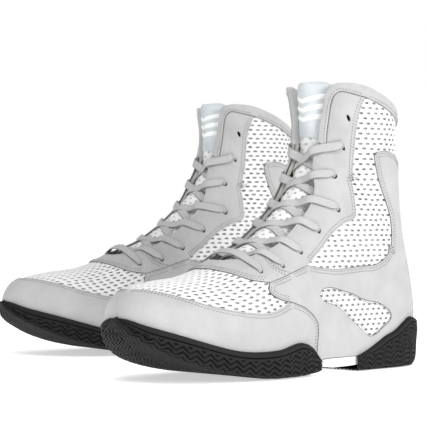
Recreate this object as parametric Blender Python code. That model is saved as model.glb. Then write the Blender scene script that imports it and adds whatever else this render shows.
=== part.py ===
"""A pair of high-top boxing boots: suede overlays, mesh panels, rubber forefoot and heel outsoles.

Every piece of the upper is a panel cut on one closed surface, the last. A place on the last has two pattern
coordinates: s runs from the toe tip (0) along the foot and up the shaft to the collar (17), and v runs from
the front ridge (0) round the side to the sole edge or to the back seam (1). Panels share their edge curves and
keep a small gap at each seam. The right boot is the left one mirrored.
"""

import math

import bpy
from mathutils import Vector
from mathutils.geometry import delaunay_2d_cdt

MM = 0.001

# Placing of the pair, toes towards +X and the left boot at +Y
BOOT_OFFSET_Y = 121.0
TOE_OUT_DEG = 5.5
PIVOT_X = 100.0
RIGHT_BOOT_BACK = 80.0
PAIR_CENTRE = (103.3, 0.0)

# The last, millimetres, one row per unit of s:
# bottom or back (x, z), top or front (x, z), half width, half width at the sole edge, height share of the
# widest point, sideways shift of the middle, squareness of the front half
LAST = [
    (290, 45, 290, 45, 0, 0, 0.42, 6, 2.0),
    (283, 35, 282, 60, 20.5, 19, 0.42, 4.5, 2.0),
    (268, 26, 270, 66, 33, 31, 0.42, 1.5, 2.0),
    (245, 17, 250, 70, 43.5, 41, 0.40, -1, 2.0),
    (215, 11, 225, 73, 49, 46, 0.36, 0, 2.0),
    (183, 9, 200, 81, 51, 48, 0.33, 1, 2.0),
    (152, 9, 177, 93, 48, 44, 0.33, 1, 2.0),
    (120, 11, 156, 105, 43, 38, 0.35, 0, 2.1),
    (87, 11, 136, 121, 40, 34, 0.38, -1, 2.2),
    (52, 12, 119, 139, 38, 32, 0.42, -2, 2.3),
    (20, 14, 108, 157, 37, 28, 0.44, -3, 2.4),
    (-4, 20, 103, 172, 36, 0, 0.46, -3, 2.5),
    (-3, 47, 101, 184, 35, 0, 0.46, -4, 2.5),
    (6, 78, 100, 194, 35, 0, 0.46, -4, 2.5),
    (12, 107, 100, 204, 36, 0, 0.46, -4, 2.6),
    (15, 136, 101, 213, 37, 0, 0.46, -4, 2.6),
    (17, 166, 102, 222, 38, 0, 0.46, -4, 2.6),
    (18, 198, 103, 231, 38, 0, 0.46, -4, 2.6),
]
HEEL_ROW, CORNER_ROW = 9.0, 11.0
HEEL_HALF_WIDTH = 32.0

# Layers, measured outwards from the last
OUTER = (0.0, -1.6)
SECOND = (-3.3, -4.1)
LINING = (-5.1, -5.9)
SEAM_GAP = 0.3
FOAM_CLEARANCE = 0.15
MESH_STEP = 15.0
LINING_STEP = 22.0
CORNER_STEP = 10.0

# Edge curves on the lateral side, as (s, v)
TOE_CAP_TOP = [
    (1.5, 0), (1.75, 0.15), (2.1, 0.28), (2.5, 0.39), (3.2, 0.52), (4.0, 0.595), (5.0, 0.665), (6.0, 0.64),
]
TOE_CAP_REAR = [(6.0, 0.64), (6.5, 0.71), (6.8, 0.80), (6.65, 0.90), (6.5, 1.0)]
OVERLAY_FRONT = [(6.0, 0.64), (5.65, 0.60), (5.42, 0.53), (5.6, 0.465)]
THROAT_FRONT = [(4.6, 0), (4.75, 0.19), (5.1, 0.37), (5.6, 0.465)]
THROAT_INNER = [(5.2, 0), (5.25, 0.08), (5.5, 0.16), (5.9, 0.22), (6.3, 0.25)]
TAB_SEAM = [(6.3, 0.25), (6.15, 0.38), (6.5, 0.48)]
OVERLAY_TOP_FRONT = [(5.6, 0.465), (6.05, 0.475), (6.5, 0.48)]
OVERLAY_TOP_REAR = [(6.5, 0.48), (6.9, 0.488), (7.25, 0.495)]
EYESTAY_FRONT = [
    (6.3, 0.25), (6.9, 0.27), (7.8, 0.27), (8.6, 0.27), (9.2, 0.24), (9.7, 0.17), (10.3, 0.125),
    (10.95, 0.11),
]
BINDING_END = [(10.95, 0.11), (11.1, 0.16)]
BINDING_INNER = [(11.1, 0.16), (13.1, 0.175), (14.4, 0.195), (15.1, 0.225), (15.45, 0.265), (16.0, 0.38)]
BINDING_LOWER = [(16.0, 0.38), (16.22, 0.47), (16.35, 0.60), (16.45, 0.80), (16.55, 1.0)]
COLLAR_TOP = [
    (16.75, 1.0), (16.7, 0.80), (16.7, 0.60), (16.65, 0.47), (16.5, 0.37), (16.15, 0.29), (15.75, 0.23),
    (15.3, 0.18),
]
BINDING_FRONT = [(15.3, 0.18), (14.4, 0.15), (13.1, 0.13), (12.0, 0.115), (10.95, 0.11)]
EYESTAY_REAR = [
    (16.0, 0.38), (15.28, 0.352), (14.48, 0.333), (13.11, 0.316), (12.18, 0.304), (11.3, 0.294), (11.0, 0.305),
    (10.64, 0.37), (10.21, 0.442), (10.04, 0.474), (9.68, 0.492), (9.07, 0.477), (8.52, 0.468), (7.8, 0.478),
    (7.25, 0.495),
]
MESH_LOWER = [
    (7.25, 0.495), (7.64, 0.543), (8.43, 0.619), (8.91, 0.655), (9.44, 0.685), (9.82, 0.681), (10.21, 0.651),
    (10.45, 0.623), (10.65, 0.593), (10.85, 0.55), (11.03, 0.50), (11.3, 0.498), (11.64, 0.504), (12.0, 0.51),
    (12.36, 0.508), (12.66, 0.486), (12.95, 0.458), (13.3, 0.44), (13.85, 0.43), (14.3, 0.465), (14.9, 0.55),
    (15.3, 0.70), (15.3, 0.85), (15.1, 1.0),
]
WINDOW = [
    (7.2, 0.67), (7.4, 0.645), (7.8, 0.66), (8.3, 0.72), (8.8, 0.785), (9.5, 0.83), (9.7, 0.855), (9.6, 0.88),
    (9.3, 0.90), (8.7, 0.925), (8.4, 0.88), (8.1, 0.82), (7.8, 0.76), (7.3, 0.705),
]
EYELETS = [
    (5.6, 0.36), (6.4, 0.41), (7.3, 0.41), (8.3, 0.40), (9.4, 0.42), (10.2, 0.30), (12.0, 0.25), (14.0, 0.28),
]
EYELET_RADIUS = 2.6
LACED_PAIRS = 7
LAST_LANDING_S = 10.6
BINDING_PROUD = 0.9

FOREFOOT_RIM = [
    (0.0, 0.80), (0.8, 0.88), (1.6, 0.89), (2.7, 0.895), (4.3, 0.915), (5.1, 0.91), (5.9, 0.88), (6.3, 0.91),
    (6.65, 1.0),
]
HEEL_RIM = [
    (8.1, 1.0), (9.0, 0.945), (9.6, 0.92), (10.1, 0.885), (10.6, 0.845), (11.2, 0.855), (11.5, 0.92),
    (11.55, 1.0),
]
HEEL_FEATHER = [
    (8.1, 1.0), (8.9, 1.0), (9.5, 1.0), (10.0, 1.0), (10.5, 1.0), (10.8, 1.0), (10.95, 1.0), (11.0, 1.0),
]

RUBBER_WALL = (3.2, 0.6)
HEEL_WALL = (3.6, 1.6)
TIP_WALL = 2.2
# Depth of the tread face under the last, as (s, mm): thin at the toe, full under the ball of the foot
FOREFOOT_DEPTH = [(0.0, 5.0), (2.0, 5.0), (3.0, 5.4), (4.0, 6.8), (4.8, 8.6), (5.4, 9.0), (6.65, 9.0)]
HEEL_ROCKER_START, HEEL_ROCKER_LENGTH, HEEL_ROCKER_RISE = 16.0, 21.0, 7.0
MIDSOLE_THICKNESS = 2.6
HEEL_FLOOR = 4.0
ARCH_LIFT = 4.0

LACE_RADIUS = 1.1
LACE_OVER, LACE_UNDER = 2.1, -6.1
TONGUE_DEPTH, TONGUE_THICKNESS = 8.2, 3.0
TONGUE_CROWN = 2.0
TONGUE_EDGE = [
    (5.45, 0.20), (6.3, 0.36), (7.3, 0.39), (8.5, 0.39), (9.6, 0.38), (10.4, 0.28), (11.2, 0.245),
    (15.6, 0.245),
]
TONGUE_SPLIT_S, TONGUE_TOP_S = 11.3, 15.55

SUEDE = ("suede", (0.66, 0.66, 0.68), 0.9)
MESH = ("mesh", (0.86, 0.87, 0.88), 0.8)
BINDING = ("binding", (0.60, 0.61, 0.62), 0.8)
KNIT = ("knit", (0.52, 0.52, 0.47), 0.9)
SATIN = ("satin", (0.62, 0.66, 0.68), 0.35)
RUBBER = ("rubber", (0.012, 0.012, 0.013), 0.55)
FOAM = ("foam", (0.75, 0.75, 0.76), 0.8)
BOARD = ("board", (0.55, 0.50, 0.42), 0.9)
LACE = ("lace", (0.58, 0.59, 0.60), 0.8)


def spline(points, at):
    """A Catmull-Rom curve through points, at 0 .. len(points) - 1."""
    last = len(points) - 1
    at = min(max(at, 0.0), last - 1e-9)
    i = int(at)
    t = at - i
    a, b = points[i], points[i + 1]
    before = points[i - 1] if i > 0 else tuple(2 * p - q for p, q in zip(a, b))
    after = points[i + 2] if i + 2 <= last else tuple(2 * q - p for p, q in zip(a, b))
    made = []
    for p0, p1, p2, p3 in zip(before, a, b, after):
        bend = (2 * p0 - 5 * p1 + 4 * p2 - p3) * t * t + (3 * p1 - p0 - 3 * p2 + p3) * t ** 3
        made.append(0.5 * (2 * p1 + (p2 - p0) * t + bend))
    return tuple(made)


def height_at(curve, s):
    """The v of a curve of (s, v) points at s, straight between its points."""
    for (s0, v0), (s1, v1) in zip(curve, curve[1:]):
        if s <= s1:
            return v0 + (v1 - v0) * max(0.0, s - s0) / (s1 - s0)
    return curve[-1][1]


# The last is mirrored past the toe tip, so that the toe closes round
TIP, NEXT = LAST[0], LAST[1]
MIRRORED_ROW = (NEXT[0], 2 * TIP[1] - NEXT[1], NEXT[2], 2 * TIP[3] - NEXT[3], -NEXT[4], -NEXT[5]) + NEXT[6:]
LAST_ROWS = [MIRRORED_ROW] + LAST


def last_row(s):
    row = list(spline(LAST_ROWS, s + 1.0))
    row[4] = max(row[4], 1e-4)
    if s > HEEL_ROW:
        along = min(1.0, (s - HEEL_ROW) / (CORNER_ROW - HEEL_ROW))
        row[5] = HEEL_HALF_WIDTH * math.sqrt(max(0.0, 1.0 - along ** 2))
    row[5] = min(max(row[5], 0.0), row[4] * 0.999)
    return row


def on_last(s, v):
    """The point of the last at s and v; v is negative on the medial side."""
    x0, z0, x1, z1, width, sole_width, widest, shift, square = last_row(s)
    under = math.acos(sole_width / width)
    turn = abs(v) * (math.pi / 2 + under)
    if turn < math.pi / 2:
        reach = (math.cos(turn) ** square + math.sin(turn) ** square) ** (-1.0 / square)
        y = width * reach * math.sin(turn)
        h = widest + (1.0 - widest) * reach * math.cos(turn)
    else:
        y = width * math.cos(turn - math.pi / 2)
        h = widest * (1.0 - math.sin(turn - math.pi / 2) / max(math.sin(under), 1e-6))
    return Vector((x0 + (x1 - x0) * h, shift + math.copysign(y, v if v else 1.0), z0 + (z1 - z0) * h))


def normal(s, v):
    """Outward normal of the last."""
    ds, dv = 0.02, 0.004
    if s < 0.05:
        return Vector((1, 0, 0))
    v0, v1 = max(-1.0, v - dv), min(1.0, v + dv)
    along = on_last(min(s + ds, 17.0), v) - on_last(s - ds, v)
    across = on_last(s, v1) - on_last(s, v0)
    n = across.cross(along)
    if n.length < 1e-9:
        return Vector((-1, 0, 0))
    return n.normalized()


def lifted(s, v, distance):
    return on_last(s, v) + normal(s, v) * distance


def sample(points, step=MESH_STEP):
    """Points along a smooth edge curve, about step apart on the last, both ends kept."""
    fine = [spline(points, (len(points) - 1) * i / 120.0) for i in range(121)]
    lengths = [0.0]
    for p, q in zip(fine, fine[1:]):
        lengths.append(lengths[-1] + (on_last(*q) - on_last(*p)).length)
    count = max(1, round(lengths[-1] / step))
    picked, k = [], 0
    for i in range(count + 1):
        target = lengths[-1] * i / count
        while k < 119 and lengths[k + 1] < target:
            k += 1
        span = max(lengths[k + 1] - lengths[k], 1e-9)
        t = min(1.0, max(0.0, (target - lengths[k]) / span))
        picked.append(tuple(a + (b - a) * t for a, b in zip(fine[k], fine[k + 1])))
    picked[0], picked[-1] = tuple(map(float, points[0])), tuple(map(float, points[-1]))
    return picked


def flipped(points):
    return [(s, -v) for s, v in points]


def loop(*curves):
    """Joins sampled curves end to end into one closed outline."""
    outline = []
    for curve in curves:
        outline += curve[:-1]
    return outline


def back(curve):
    return curve[::-1]


def straight(a, b, step=MESH_STEP):
    return sample([a, b], step)


def flat(s, v):
    """Pattern coordinates scaled to rough millimetres, for cutting a panel into triangles."""
    return Vector((s * 20.0, v * 85.0))


def inside(point, outline):
    x, y = point
    odd = False
    for (x0, y0), (x1, y1) in zip(outline, outline[1:] + outline[:1]):
        if (y0 > y) != (y1 > y) and x < (x1 - x0) * (y - y0) / (y1 - y0) + x0:
            odd = not odd
    return odd


def triangles(outline, holes=(), step=MESH_STEP):
    """Cuts an outline with holes into triangles; returns places (s, v) and index triples."""
    loops = [outline] + list(holes)
    places, edges = [], []
    for ring in loops:
        first = len(places)
        places += ring
        edges += [(first + i, first + (i + 1) % len(ring)) for i in range(len(ring))]
    flats = [flat(*p) for p in places]
    outer = [tuple(flat(*p)) for p in outline]
    inner = [[tuple(flat(*p)) for p in ring] for ring in holes]
    lo = [min(p[k] for p in outer) for k in (0, 1)]
    hi = [max(p[k] for p in outer) for k in (0, 1)]
    rows = int((hi[0] - lo[0]) / (step * 0.87)) + 1
    for i in range(1, rows):
        x = lo[0] + (hi[0] - lo[0]) * i / rows
        cols = int((hi[1] - lo[1]) / step) + 2
        for j in range(cols):
            y = lo[1] + (hi[1] - lo[1]) * (j + (0.5 if i % 2 else 0.0)) / cols
            near = min((p - Vector((x, y))).length for p in flats)
            if near > step * 0.62 and inside((x, y), outer) and not any(inside((x, y), r) for r in inner):
                flats.append(Vector((x, y)))
                places.append((x / 20.0, y / 85.0))
    cut = delaunay_2d_cdt(flats, edges, [], 0, 1e-6)
    points, faces = cut[0], cut[2]
    kept = []
    for face in faces:
        middle = sum((points[k] for k in face), Vector((0, 0))) / len(face)
        if inside(middle, outer) and not any(inside(middle, r) for r in inner):
            a, b, c = (points[k] for k in face)
            turn = (b - a).cross(c - a)
            kept.append(tuple(face) if turn > 0 else tuple(reversed(face)))
    return [(p.x / 20.0, p.y / 85.0) for p in points], kept


def signed_volume(ring):
    """Six times the volume between the origin and one face."""
    return sum(ring[0].dot(b.cross(c)) for b, c in zip(ring[1:], ring[2:]))


def closed_shell(name, pairs, faces, finish, boot, origin=(PIVOT_X, 0.0, 0.0)):
    """One closed body between the outer and inner points of pairs; meeting points are welded first."""
    index, outer, inner, turned = {}, [], [], []
    for a, b in pairs:
        key = tuple(round(c, 3) for c in a)
        if key not in index:
            index[key] = len(outer)
            outer.append(a)
            inner.append(b)
        turned.append(index[key])
    solid_faces, edge_count = [], {}
    for face in faces:
        ring = [turned[k] for k in face]
        ring = [k for i, k in enumerate(ring) if k != ring[i - 1]]
        if len(set(ring)) < 3:
            continue
        solid_faces.append(ring)
        for a, b in zip(ring, ring[1:] + ring[:1]):
            edge_count[(a, b)] = edge_count.get((a, b), 0) + 1
    n = len(outer)
    all_faces = [tuple(ring) for ring in solid_faces]
    all_faces += [tuple(k + n for k in reversed(ring)) for ring in solid_faces]
    for a, b in edge_count:
        if (b, a) not in edge_count:
            all_faces.append((b, a, a + n, b + n))
    points = outer + inner
    if sum(signed_volume([points[k] for k in face]) for face in all_faces) < 0:
        all_faces = [tuple(reversed(face)) for face in all_faces]
    return boot.add_mesh(name, points, all_faces, finish, origin)


def panel(name, outlines, layer, finish, boot, holes=(), gap=SEAM_GAP, step=MESH_STEP):
    """A sheet piece cut on the last, between two layer heights, drawn back by gap along its edges."""
    places, faces = [], []
    for outline in outlines:
        own_holes = [h for h in holes if inside(tuple(flat(*h[0])), [tuple(flat(*p)) for p in outline])]
        cut_places, cut_faces = triangles(outline, own_holes, step)
        first = len(places)
        places += cut_places
        faces += [tuple(k + first for k in f) for f in cut_faces]
    index, kept, turned = {}, [], []
    for s, v in places:
        p = on_last(s, v)
        key = tuple(round(c, 2) for c in p)
        if key not in index:
            index[key] = len(kept)
            kept.append((s, v, p))
        turned.append(index[key])
    rings = []
    for face in faces:
        ring = [turned[k] for k in face]
        if len(set(ring)) == 3:
            rings.append(ring)
    directed = {(r[i], r[(i + 1) % 3]): r[(i + 2) % 3] for r in rings for i in range(3)}
    pull = {}
    for (a, b), c in directed.items():
        if (b, a) in directed:
            continue
        pa, pb, pc = kept[a][2], kept[b][2], kept[c][2]
        along = (pb - pa).normalized()
        inward = (pc - pa) - along * (pc - pa).dot(along)
        if inward.length > 1e-6:
            for k in (a, b):
                pull.setdefault(k, []).append(inward.normalized())
    pairs = []
    for k, (s, v, p) in enumerate(kept):
        n = normal(s, v)
        if k in pull:
            total = sum(pull[k], Vector((0, 0, 0)))
            if total.length > 1e-6:
                direction = total.normalized()
                share = max(0.5, min(direction.dot(w) for w in pull[k]))
                p = p + direction * (gap / share)
        pairs.append((p + n * layer[0], p + n * layer[1]))
    return closed_shell(name, pairs, rings, finish, boot)


def grid_faces(rows, columns):
    faces = []
    for i in range(rows - 1):
        for j in range(columns - 1):
            a = i * columns + j
            faces += [(a, a + columns, a + columns + 1), (a, a + columns + 1, a + 1)]
    return faces


def grid_shell(name, rows, finish, boot, origin=(PIVOT_X, 0.0, 0.0)):
    """A closed body from rows of (outer, inner) points."""
    pairs = [pair for row in rows for pair in row]
    return closed_shell(name, pairs, grid_faces(len(rows), len(rows[0])), finish, boot, origin)


class Boot:
    """One boot: side is 1 for the left and -1 for the right, which is the left one mirrored."""

    def __init__(self, label, side, collection):
        self.label, self.side, self.collection = label, side, collection
        self.frame = bpy.data.objects.new(label + "_boot_frame", None)
        collection.objects.link(self.frame)
        back_shift = 0.0 if side > 0 else RIGHT_BOOT_BACK
        self.frame.location = (
            (PIVOT_X - back_shift - PAIR_CENTRE[0]) * MM,
            (side * BOOT_OFFSET_Y - PAIR_CENTRE[1]) * MM,
            0,
        )
        self.frame.rotation_euler.z = side * math.radians(TOE_OUT_DEG)

    def local(self, point):
        return Vector(((point[0] - PIVOT_X) * MM, self.side * point[1] * MM, point[2] * MM))

    def add_mesh(self, name, points, faces, finish, origin=(PIVOT_X, 0.0, 0.0)):
        centre = self.local(origin)
        mesh = bpy.data.meshes.new(self.label + "_" + name)
        turned = faces if self.side > 0 else [tuple(reversed(f)) for f in faces]
        mesh.from_pydata([self.local(p) - centre for p in points], [], turned)
        mesh.validate()
        mesh.materials.append(material(finish))
        mesh.shade_smooth()
        mesh.set_sharp_from_angle(angle=math.radians(40))
        piece = bpy.data.objects.new(self.label + "_" + name, mesh)
        piece.parent = self.frame
        piece.location = centre
        self.collection.objects.link(piece)
        return piece


def material(finish):
    name, colour, roughness = finish
    made = bpy.data.materials.get(name)
    if made is None:
        made = bpy.data.materials.new(name)
        made.use_nodes = True
        shader = made.node_tree.nodes["Principled BSDF"]
        shader.inputs["Base Color"].default_value = colour + (1.0,)
        shader.inputs["Roughness"].default_value = roughness
        made.diffuse_color = colour + (1.0,)
    return made


def eyelet_hole(place, sides=6):
    """The outline of one punched hole, as pattern coordinates."""
    s, v = place
    across = (on_last(s, v + 0.01) - on_last(s, v)).length / 0.01
    along = (on_last(s + 0.05, v) - on_last(s, v)).length / 0.05
    ring = []
    for k in range(sides):
        a = 2 * math.pi * k / sides
        ring.append((s + EYELET_RADIUS * math.cos(a) / along, v + EYELET_RADIUS * math.sin(a) / across))
    return ring


# ---------------------------------------------------------------- the upper

def both(name, outline, layer, finish, boot, holes=(), step=MESH_STEP):
    """The lateral piece and its medial twin."""
    panel(name + "_lateral", [outline], layer, finish, boot, holes, step=step)
    twin_holes = [flipped(h) for h in holes]
    panel(name + "_medial", [flipped(outline)], layer, finish, boot, twin_holes, step=step)


def upper_panels(boot):
    cap_top, cap_rear = sample(TOE_CAP_TOP), sample(TOE_CAP_REAR)
    overlay_front, throat_front = sample(OVERLAY_FRONT, 9.0), sample(THROAT_FRONT)
    throat_inner, tab_seam = sample(THROAT_INNER, 9.0), sample(TAB_SEAM, 9.0)
    top_front, top_rear = sample(OVERLAY_TOP_FRONT), sample(OVERLAY_TOP_REAR)
    eyestay_front, binding_end = sample(EYESTAY_FRONT), sample(BINDING_END, 9.0)
    binding_inner, binding_lower = sample(BINDING_INNER, 9.0), sample(BINDING_LOWER)
    collar_top, binding_front = sample(COLLAR_TOP, 9.0), sample(BINDING_FRONT)
    eyestay_rear, mesh_lower = sample(EYESTAY_REAR), sample(MESH_LOWER)
    window = sample(WINDOW + WINDOW[:1], 9.0)[:-1]
    cap_sole = straight((0.0, 1.0), (6.5, 1.0))
    tip = [(0.0, 1.0), (0.0, 0.0), (0.0, -1.0)]

    cap = loop(
        tip, flipped(cap_sole), back(flipped(cap_rear)), back(flipped(cap_top)), cap_top, cap_rear,
        back(cap_sole),
    )
    panel("toe_cap", [cap], OUTER, SUEDE, boot)

    vamp = loop(
        throat_front, back(overlay_front), back(cap_top), flipped(cap_top), flipped(overlay_front),
        back(flipped(throat_front)),
    )
    panel("vamp_mesh", [vamp], OUTER, MESH, boot)

    tab = loop(
        back(flipped(throat_inner)), throat_inner, tab_seam, back(top_front), back(throat_front),
        flipped(throat_front), flipped(top_front), back(flipped(tab_seam)),
    )
    lowest = eyelet_hole(EYELETS[0])
    panel("throat_tab", [tab], OUTER, SUEDE, boot, [lowest, flipped(lowest)])

    holes = [eyelet_hole(e) for e in EYELETS[1:]]
    eyestay = loop(
        eyestay_front, binding_end, binding_inner, eyestay_rear, back(top_rear), back(tab_seam),
    )
    both("eyestay", eyestay, OUTER, SUEDE, boot, holes, CORNER_STEP)
    facing = loop(
        sample(EYESTAY_FRONT), back(binding_front),
        back(sample([(16.15, 0.37), (15.75, 0.26), (15.3, 0.18)])),
        sample([(16.15, 0.37)] + EYESTAY_REAR[1:]), back(top_rear), back(tab_seam),
    )
    both("eyestay_facing", facing, SECOND, KNIT, boot, holes, CORNER_STEP)

    seam = straight((15.1, 1.0), (16.55, 1.0))
    both("shaft_mesh", loop(eyestay_rear, mesh_lower, seam, back(binding_lower)),
         OUTER, MESH, boot)
    heel_edge = straight((6.5, 1.0), (10.0, 1.0))[:-1] + sample([(10.0, 1.0), (10.7, 1.0), (11.0, 1.0)], 7.0)
    overlay = loop(
        overlay_front, top_front, top_rear, mesh_lower, straight((15.1, 1.0), (11.0, 1.0)),
        back(heel_edge), back(cap_rear),
    )
    both("side_overlay", overlay, OUTER, SUEDE, boot, [window])
    both("side_window", window, OUTER, MESH, boot)

    seam = straight((16.55, 1.0), (16.75, 1.0))
    half = loop(binding_end, binding_inner, binding_lower, seam, collar_top, binding_front)
    panel("collar_binding", [half, flipped(half)], (BINDING_PROUD, -1.6), BINDING, boot, step=CORNER_STEP)


def linings(boot):
    front = [
        (6.3, 0.55), (7.3, 0.555), (8.6, 0.55), (9.8, 0.54), (10.6, 0.42), (11.2, 0.36), (13.0, 0.37),
        (15.6, 0.42),
    ]
    top = [(15.6, 0.42), (16.0, 0.50), (16.2, 0.65), (16.35, 0.82), (16.45, 1.0)]
    floor = [(11.4, 1.0), (11.0, 0.955), (10.0, 0.93), (8.5, 0.91), (6.3, 0.89)]
    half = loop(
        sample(front, LINING_STEP), sample(top, LINING_STEP),
        straight((16.45, 1.0), (11.4, 1.0), LINING_STEP),
        sample(floor, LINING_STEP), straight((6.3, 0.89), (6.3, 0.55), LINING_STEP),
    )
    panel("quarter_lining_lateral", [half], LINING, KNIT, boot, step=LINING_STEP)
    panel("quarter_lining_medial", [flipped(half)], LINING, KNIT, boot, step=LINING_STEP)

    side = sample([(0.7, 0.75), (2.0, 0.86), (4.0, 0.89), (6.1, 0.89)], LINING_STEP)
    rear = sample([(6.1, 0.89), (6.1, 0.55), (5.2, 0.42), (4.75, 0.2), (4.6, 0.0)], LINING_STEP)
    nose = sample([(0.7, -0.75), (0.7, 0.0), (0.7, 0.75)], 9.0)
    vamp = loop(nose, side, rear, back(flipped(rear)), back(flipped(side)))
    panel("vamp_lining", [vamp], LINING, KNIT, boot, step=LINING_STEP)


def stiffeners(boot):
    puff_rows = []
    for i in range(4):
        s = 0.5 + 1.5 * i / 3
        reach = 0.70 + 0.10 * i / 3
        puff_rows.append([(lifted(s, v, SECOND[0]), lifted(s, v, SECOND[1]))
                          for v in [reach * (k / 5.0) for k in range(-5, 6)]])
    grid_shell("toe_puff", [row[::-1] for row in puff_rows], BOARD, boot)

    turns = [0.66, 0.74, 0.82, 0.91, 1.0, -0.91, -0.82, -0.74, -0.66]
    counter_rows = []
    for i in range(5):
        s = 11.45 + 2.0 * i / 4
        counter_rows.append([(lifted(s, v, SECOND[0]), lifted(s, v, SECOND[1])) for v in turns])
    grid_shell("heel_counter", counter_rows, BOARD, boot)

    turns = [0.42, 0.50, 0.58, 0.67, 0.76, 0.85, 0.93, 1.0, -0.93, -0.85, -0.76, -0.67, -0.58, -0.50, -0.42]
    foam_rows = []
    for i in range(4):
        s = 14.3 + 1.9 * i / 3
        places = [(s - 0.4 * (1 - abs(v)), v) for v in turns]
        foam_rows.append([(lifted(*place, SECOND[0] - FOAM_CLEARANCE), lifted(*place, SECOND[1]))
                          for place in places])
    grid_shell("collar_foam", foam_rows, FOAM, boot)


# ---------------------------------------------------------------- the sole

def sole_down(s):
    """Direction straight out of the bottom of the last."""
    ahead, behind = last_row(max(s - 0.05, 0.0)), last_row(s + 0.05)
    along = Vector((ahead[0] - behind[0], 0, ahead[1] - behind[1]))
    if s < 0.1:
        return Vector((1, 0, 0))
    down = Vector((along.z, 0, -along.x))
    return down.normalized()


def sole_point(s, across, depth, spread=0.0):
    """A point under the last: across runs from -1 to 1 over the sole width, depth is measured downwards."""
    row = last_row(s)
    p = Vector((row[0], row[7] + across * (row[5] + spread), row[1])) + sole_down(s) * depth
    return Vector((p.x, p.y, max(p.z, 0.0)))


def forefoot_outsole(boot):
    rows = []
    count = 15
    for i in range(count + 1):
        s = 6.65 * (i / count) ** 1.25
        rim = height_at(FOREFOOT_RIM, s)
        rim = min(rim, 0.999)
        floor = height_at(FOREFOOT_DEPTH, s)
        top = MIDSOLE_THICKNESS + 0.75
        wall = TIP_WALL + (RUBBER_WALL[0] - TIP_WALL) * min(s / 1.2, 1.0)
        half = []
        for v in (rim, 0.5 + rim / 2):
            half.append((lifted(s, v, wall), lifted(s, v, RUBBER_WALL[1])))
        half.append((sole_point(s, 1, floor * 0.3, 3.0), sole_point(s, 1, 0.3, 0.45)))
        half.append((sole_point(s, 1, floor * 0.75, 2.2), sole_point(s, 1, top, 0.4)))
        half.append((sole_point(s, 0.88, floor), sole_point(s, 0.85, top)))
        half.append((sole_point(s, 0.4, floor), sole_point(s, 0.4, top)))
        if i == 0:
            tip = on_last(0.0, 0.0)
            half = [(tip + Vector((TIP_WALL, 0, 0)), tip + Vector((0.4, 0, 0)))] * len(half)
        shift = last_row(s)[7]
        twin = [(Vector((a.x, 2 * shift - a.y, a.z)), Vector((b.x, 2 * shift - b.y, b.z))) for a, b in half]
        rows.append(half + twin[::-1])
    grid_shell("outsole_forefoot", rows, RUBBER, boot)


def heel_lift(x):
    """How far the tread face rises behind the flat part of the heel."""
    return HEEL_ROCKER_RISE * min(max((HEEL_ROCKER_START - x) / HEEL_ROCKER_LENGTH, 0.0), 1.0) ** 1.6


def heel_outsole(boot):
    rows = []
    count = 10
    for i in range(count + 1):
        at = (len(HEEL_RIM) - 1) * i / count
        rim, foot = spline(HEEL_RIM, at), spline(HEEL_FEATHER, at)
        rim = (rim[0], min(rim[1], 1.0))
        foot = (min(foot[0], 11.0), 1.0)
        middle = ((rim[0] + foot[0]) / 2, (rim[1] + foot[1]) / 2)
        edge = on_last(*foot)
        shift = last_row(foot[0])[7]
        outward = Vector((edge.x - 42.0, edge.y - shift, 0)).normalized() if i > 2 else Vector((0, 1, 0))
        half = [(lifted(rim[0], rim[1], HEEL_WALL[0]), lifted(rim[0], rim[1], HEEL_WALL[1])),
                (lifted(middle[0], middle[1], HEEL_WALL[0]), lifted(middle[0], middle[1], HEEL_WALL[1]))]

        def skirt(z, out):
            p = edge + outward * out
            return Vector((p.x, max(p.y, shift), z))

        low = 2.0 if i else 5.0
        half.append((skirt(edge.z - 2.0, 3.2), skirt(edge.z - 1.0, 1.6)))
        lift = heel_lift(edge.x)
        half.append((skirt(low + 3.0 + lift, 2.6), skirt(low + 2.0 + lift, 0.3)))
        half.append((skirt(lift, 1.0), skirt(HEEL_FLOOR + lift, 0.3)))
        if i == count:
            half = [(Vector((a.x, shift, a.z)), Vector((b.x, shift, b.z))) for a, b in half]
        last_out, last_in = half[-1]
        for share in (0.5, 0.0):
            half.append((Vector((last_out.x, shift + (last_out.y - shift) * share, last_out.z)),
                         Vector((last_in.x, shift + (last_in.y - shift) * share, last_in.z))))
        twin = [(Vector((a.x, 2 * shift - a.y, a.z)), Vector((b.x, 2 * shift - b.y, b.z)))
                for a, b in half[:-1]]
        rows.append(half + twin[::-1])
    grid_shell("outsole_heel", rows, RUBBER, boot)


def sole_plate(name, start, end, top, bottom, margin, finish, boot, rows=9, bottom_z=None):
    """A plate that follows the bottom of the last; top and bottom are depths, negative inside the boot."""
    made = []
    for i in range(rows + 1):
        s = start + (end - start) * i / rows
        row = []
        for across in (1.0, 0.5, 0.0, -0.5, -1.0):
            low = sole_point(s, across, bottom, -margin)
            if bottom_z is not None:
                low = Vector((low.x, low.y, bottom_z(s, low)))
            row.append((low, sole_point(s, across, top, -margin)))
        made.append(row)
    grid_shell(name, made, finish, boot)


def inner_sole(boot):
    def midsole_bottom(s, low):
        if s < 6.75:
            return low.z
        if s < 7.0:
            return low.z + (ARCH_LIFT - low.z) * (s - 6.75) / 0.25
        if s < 7.9:
            return ARCH_LIFT
        return HEEL_FLOOR + 0.45 + heel_lift(low.x)

    sole_plate("midsole", 0.7, 10.75, 0.4, 0.4 + MIDSOLE_THICKNESS, 1.0, FOAM, boot, 20, midsole_bottom)
    sole_plate("insole_board", 1.0, 10.6, -2.0, -0.4, 3.2, BOARD, boot)
    sole_plate("sockliner", 1.3, 10.4, -5.8, -2.9, 7.5, KNIT, boot)


# ---------------------------------------------------------------- tongue and lace

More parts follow.
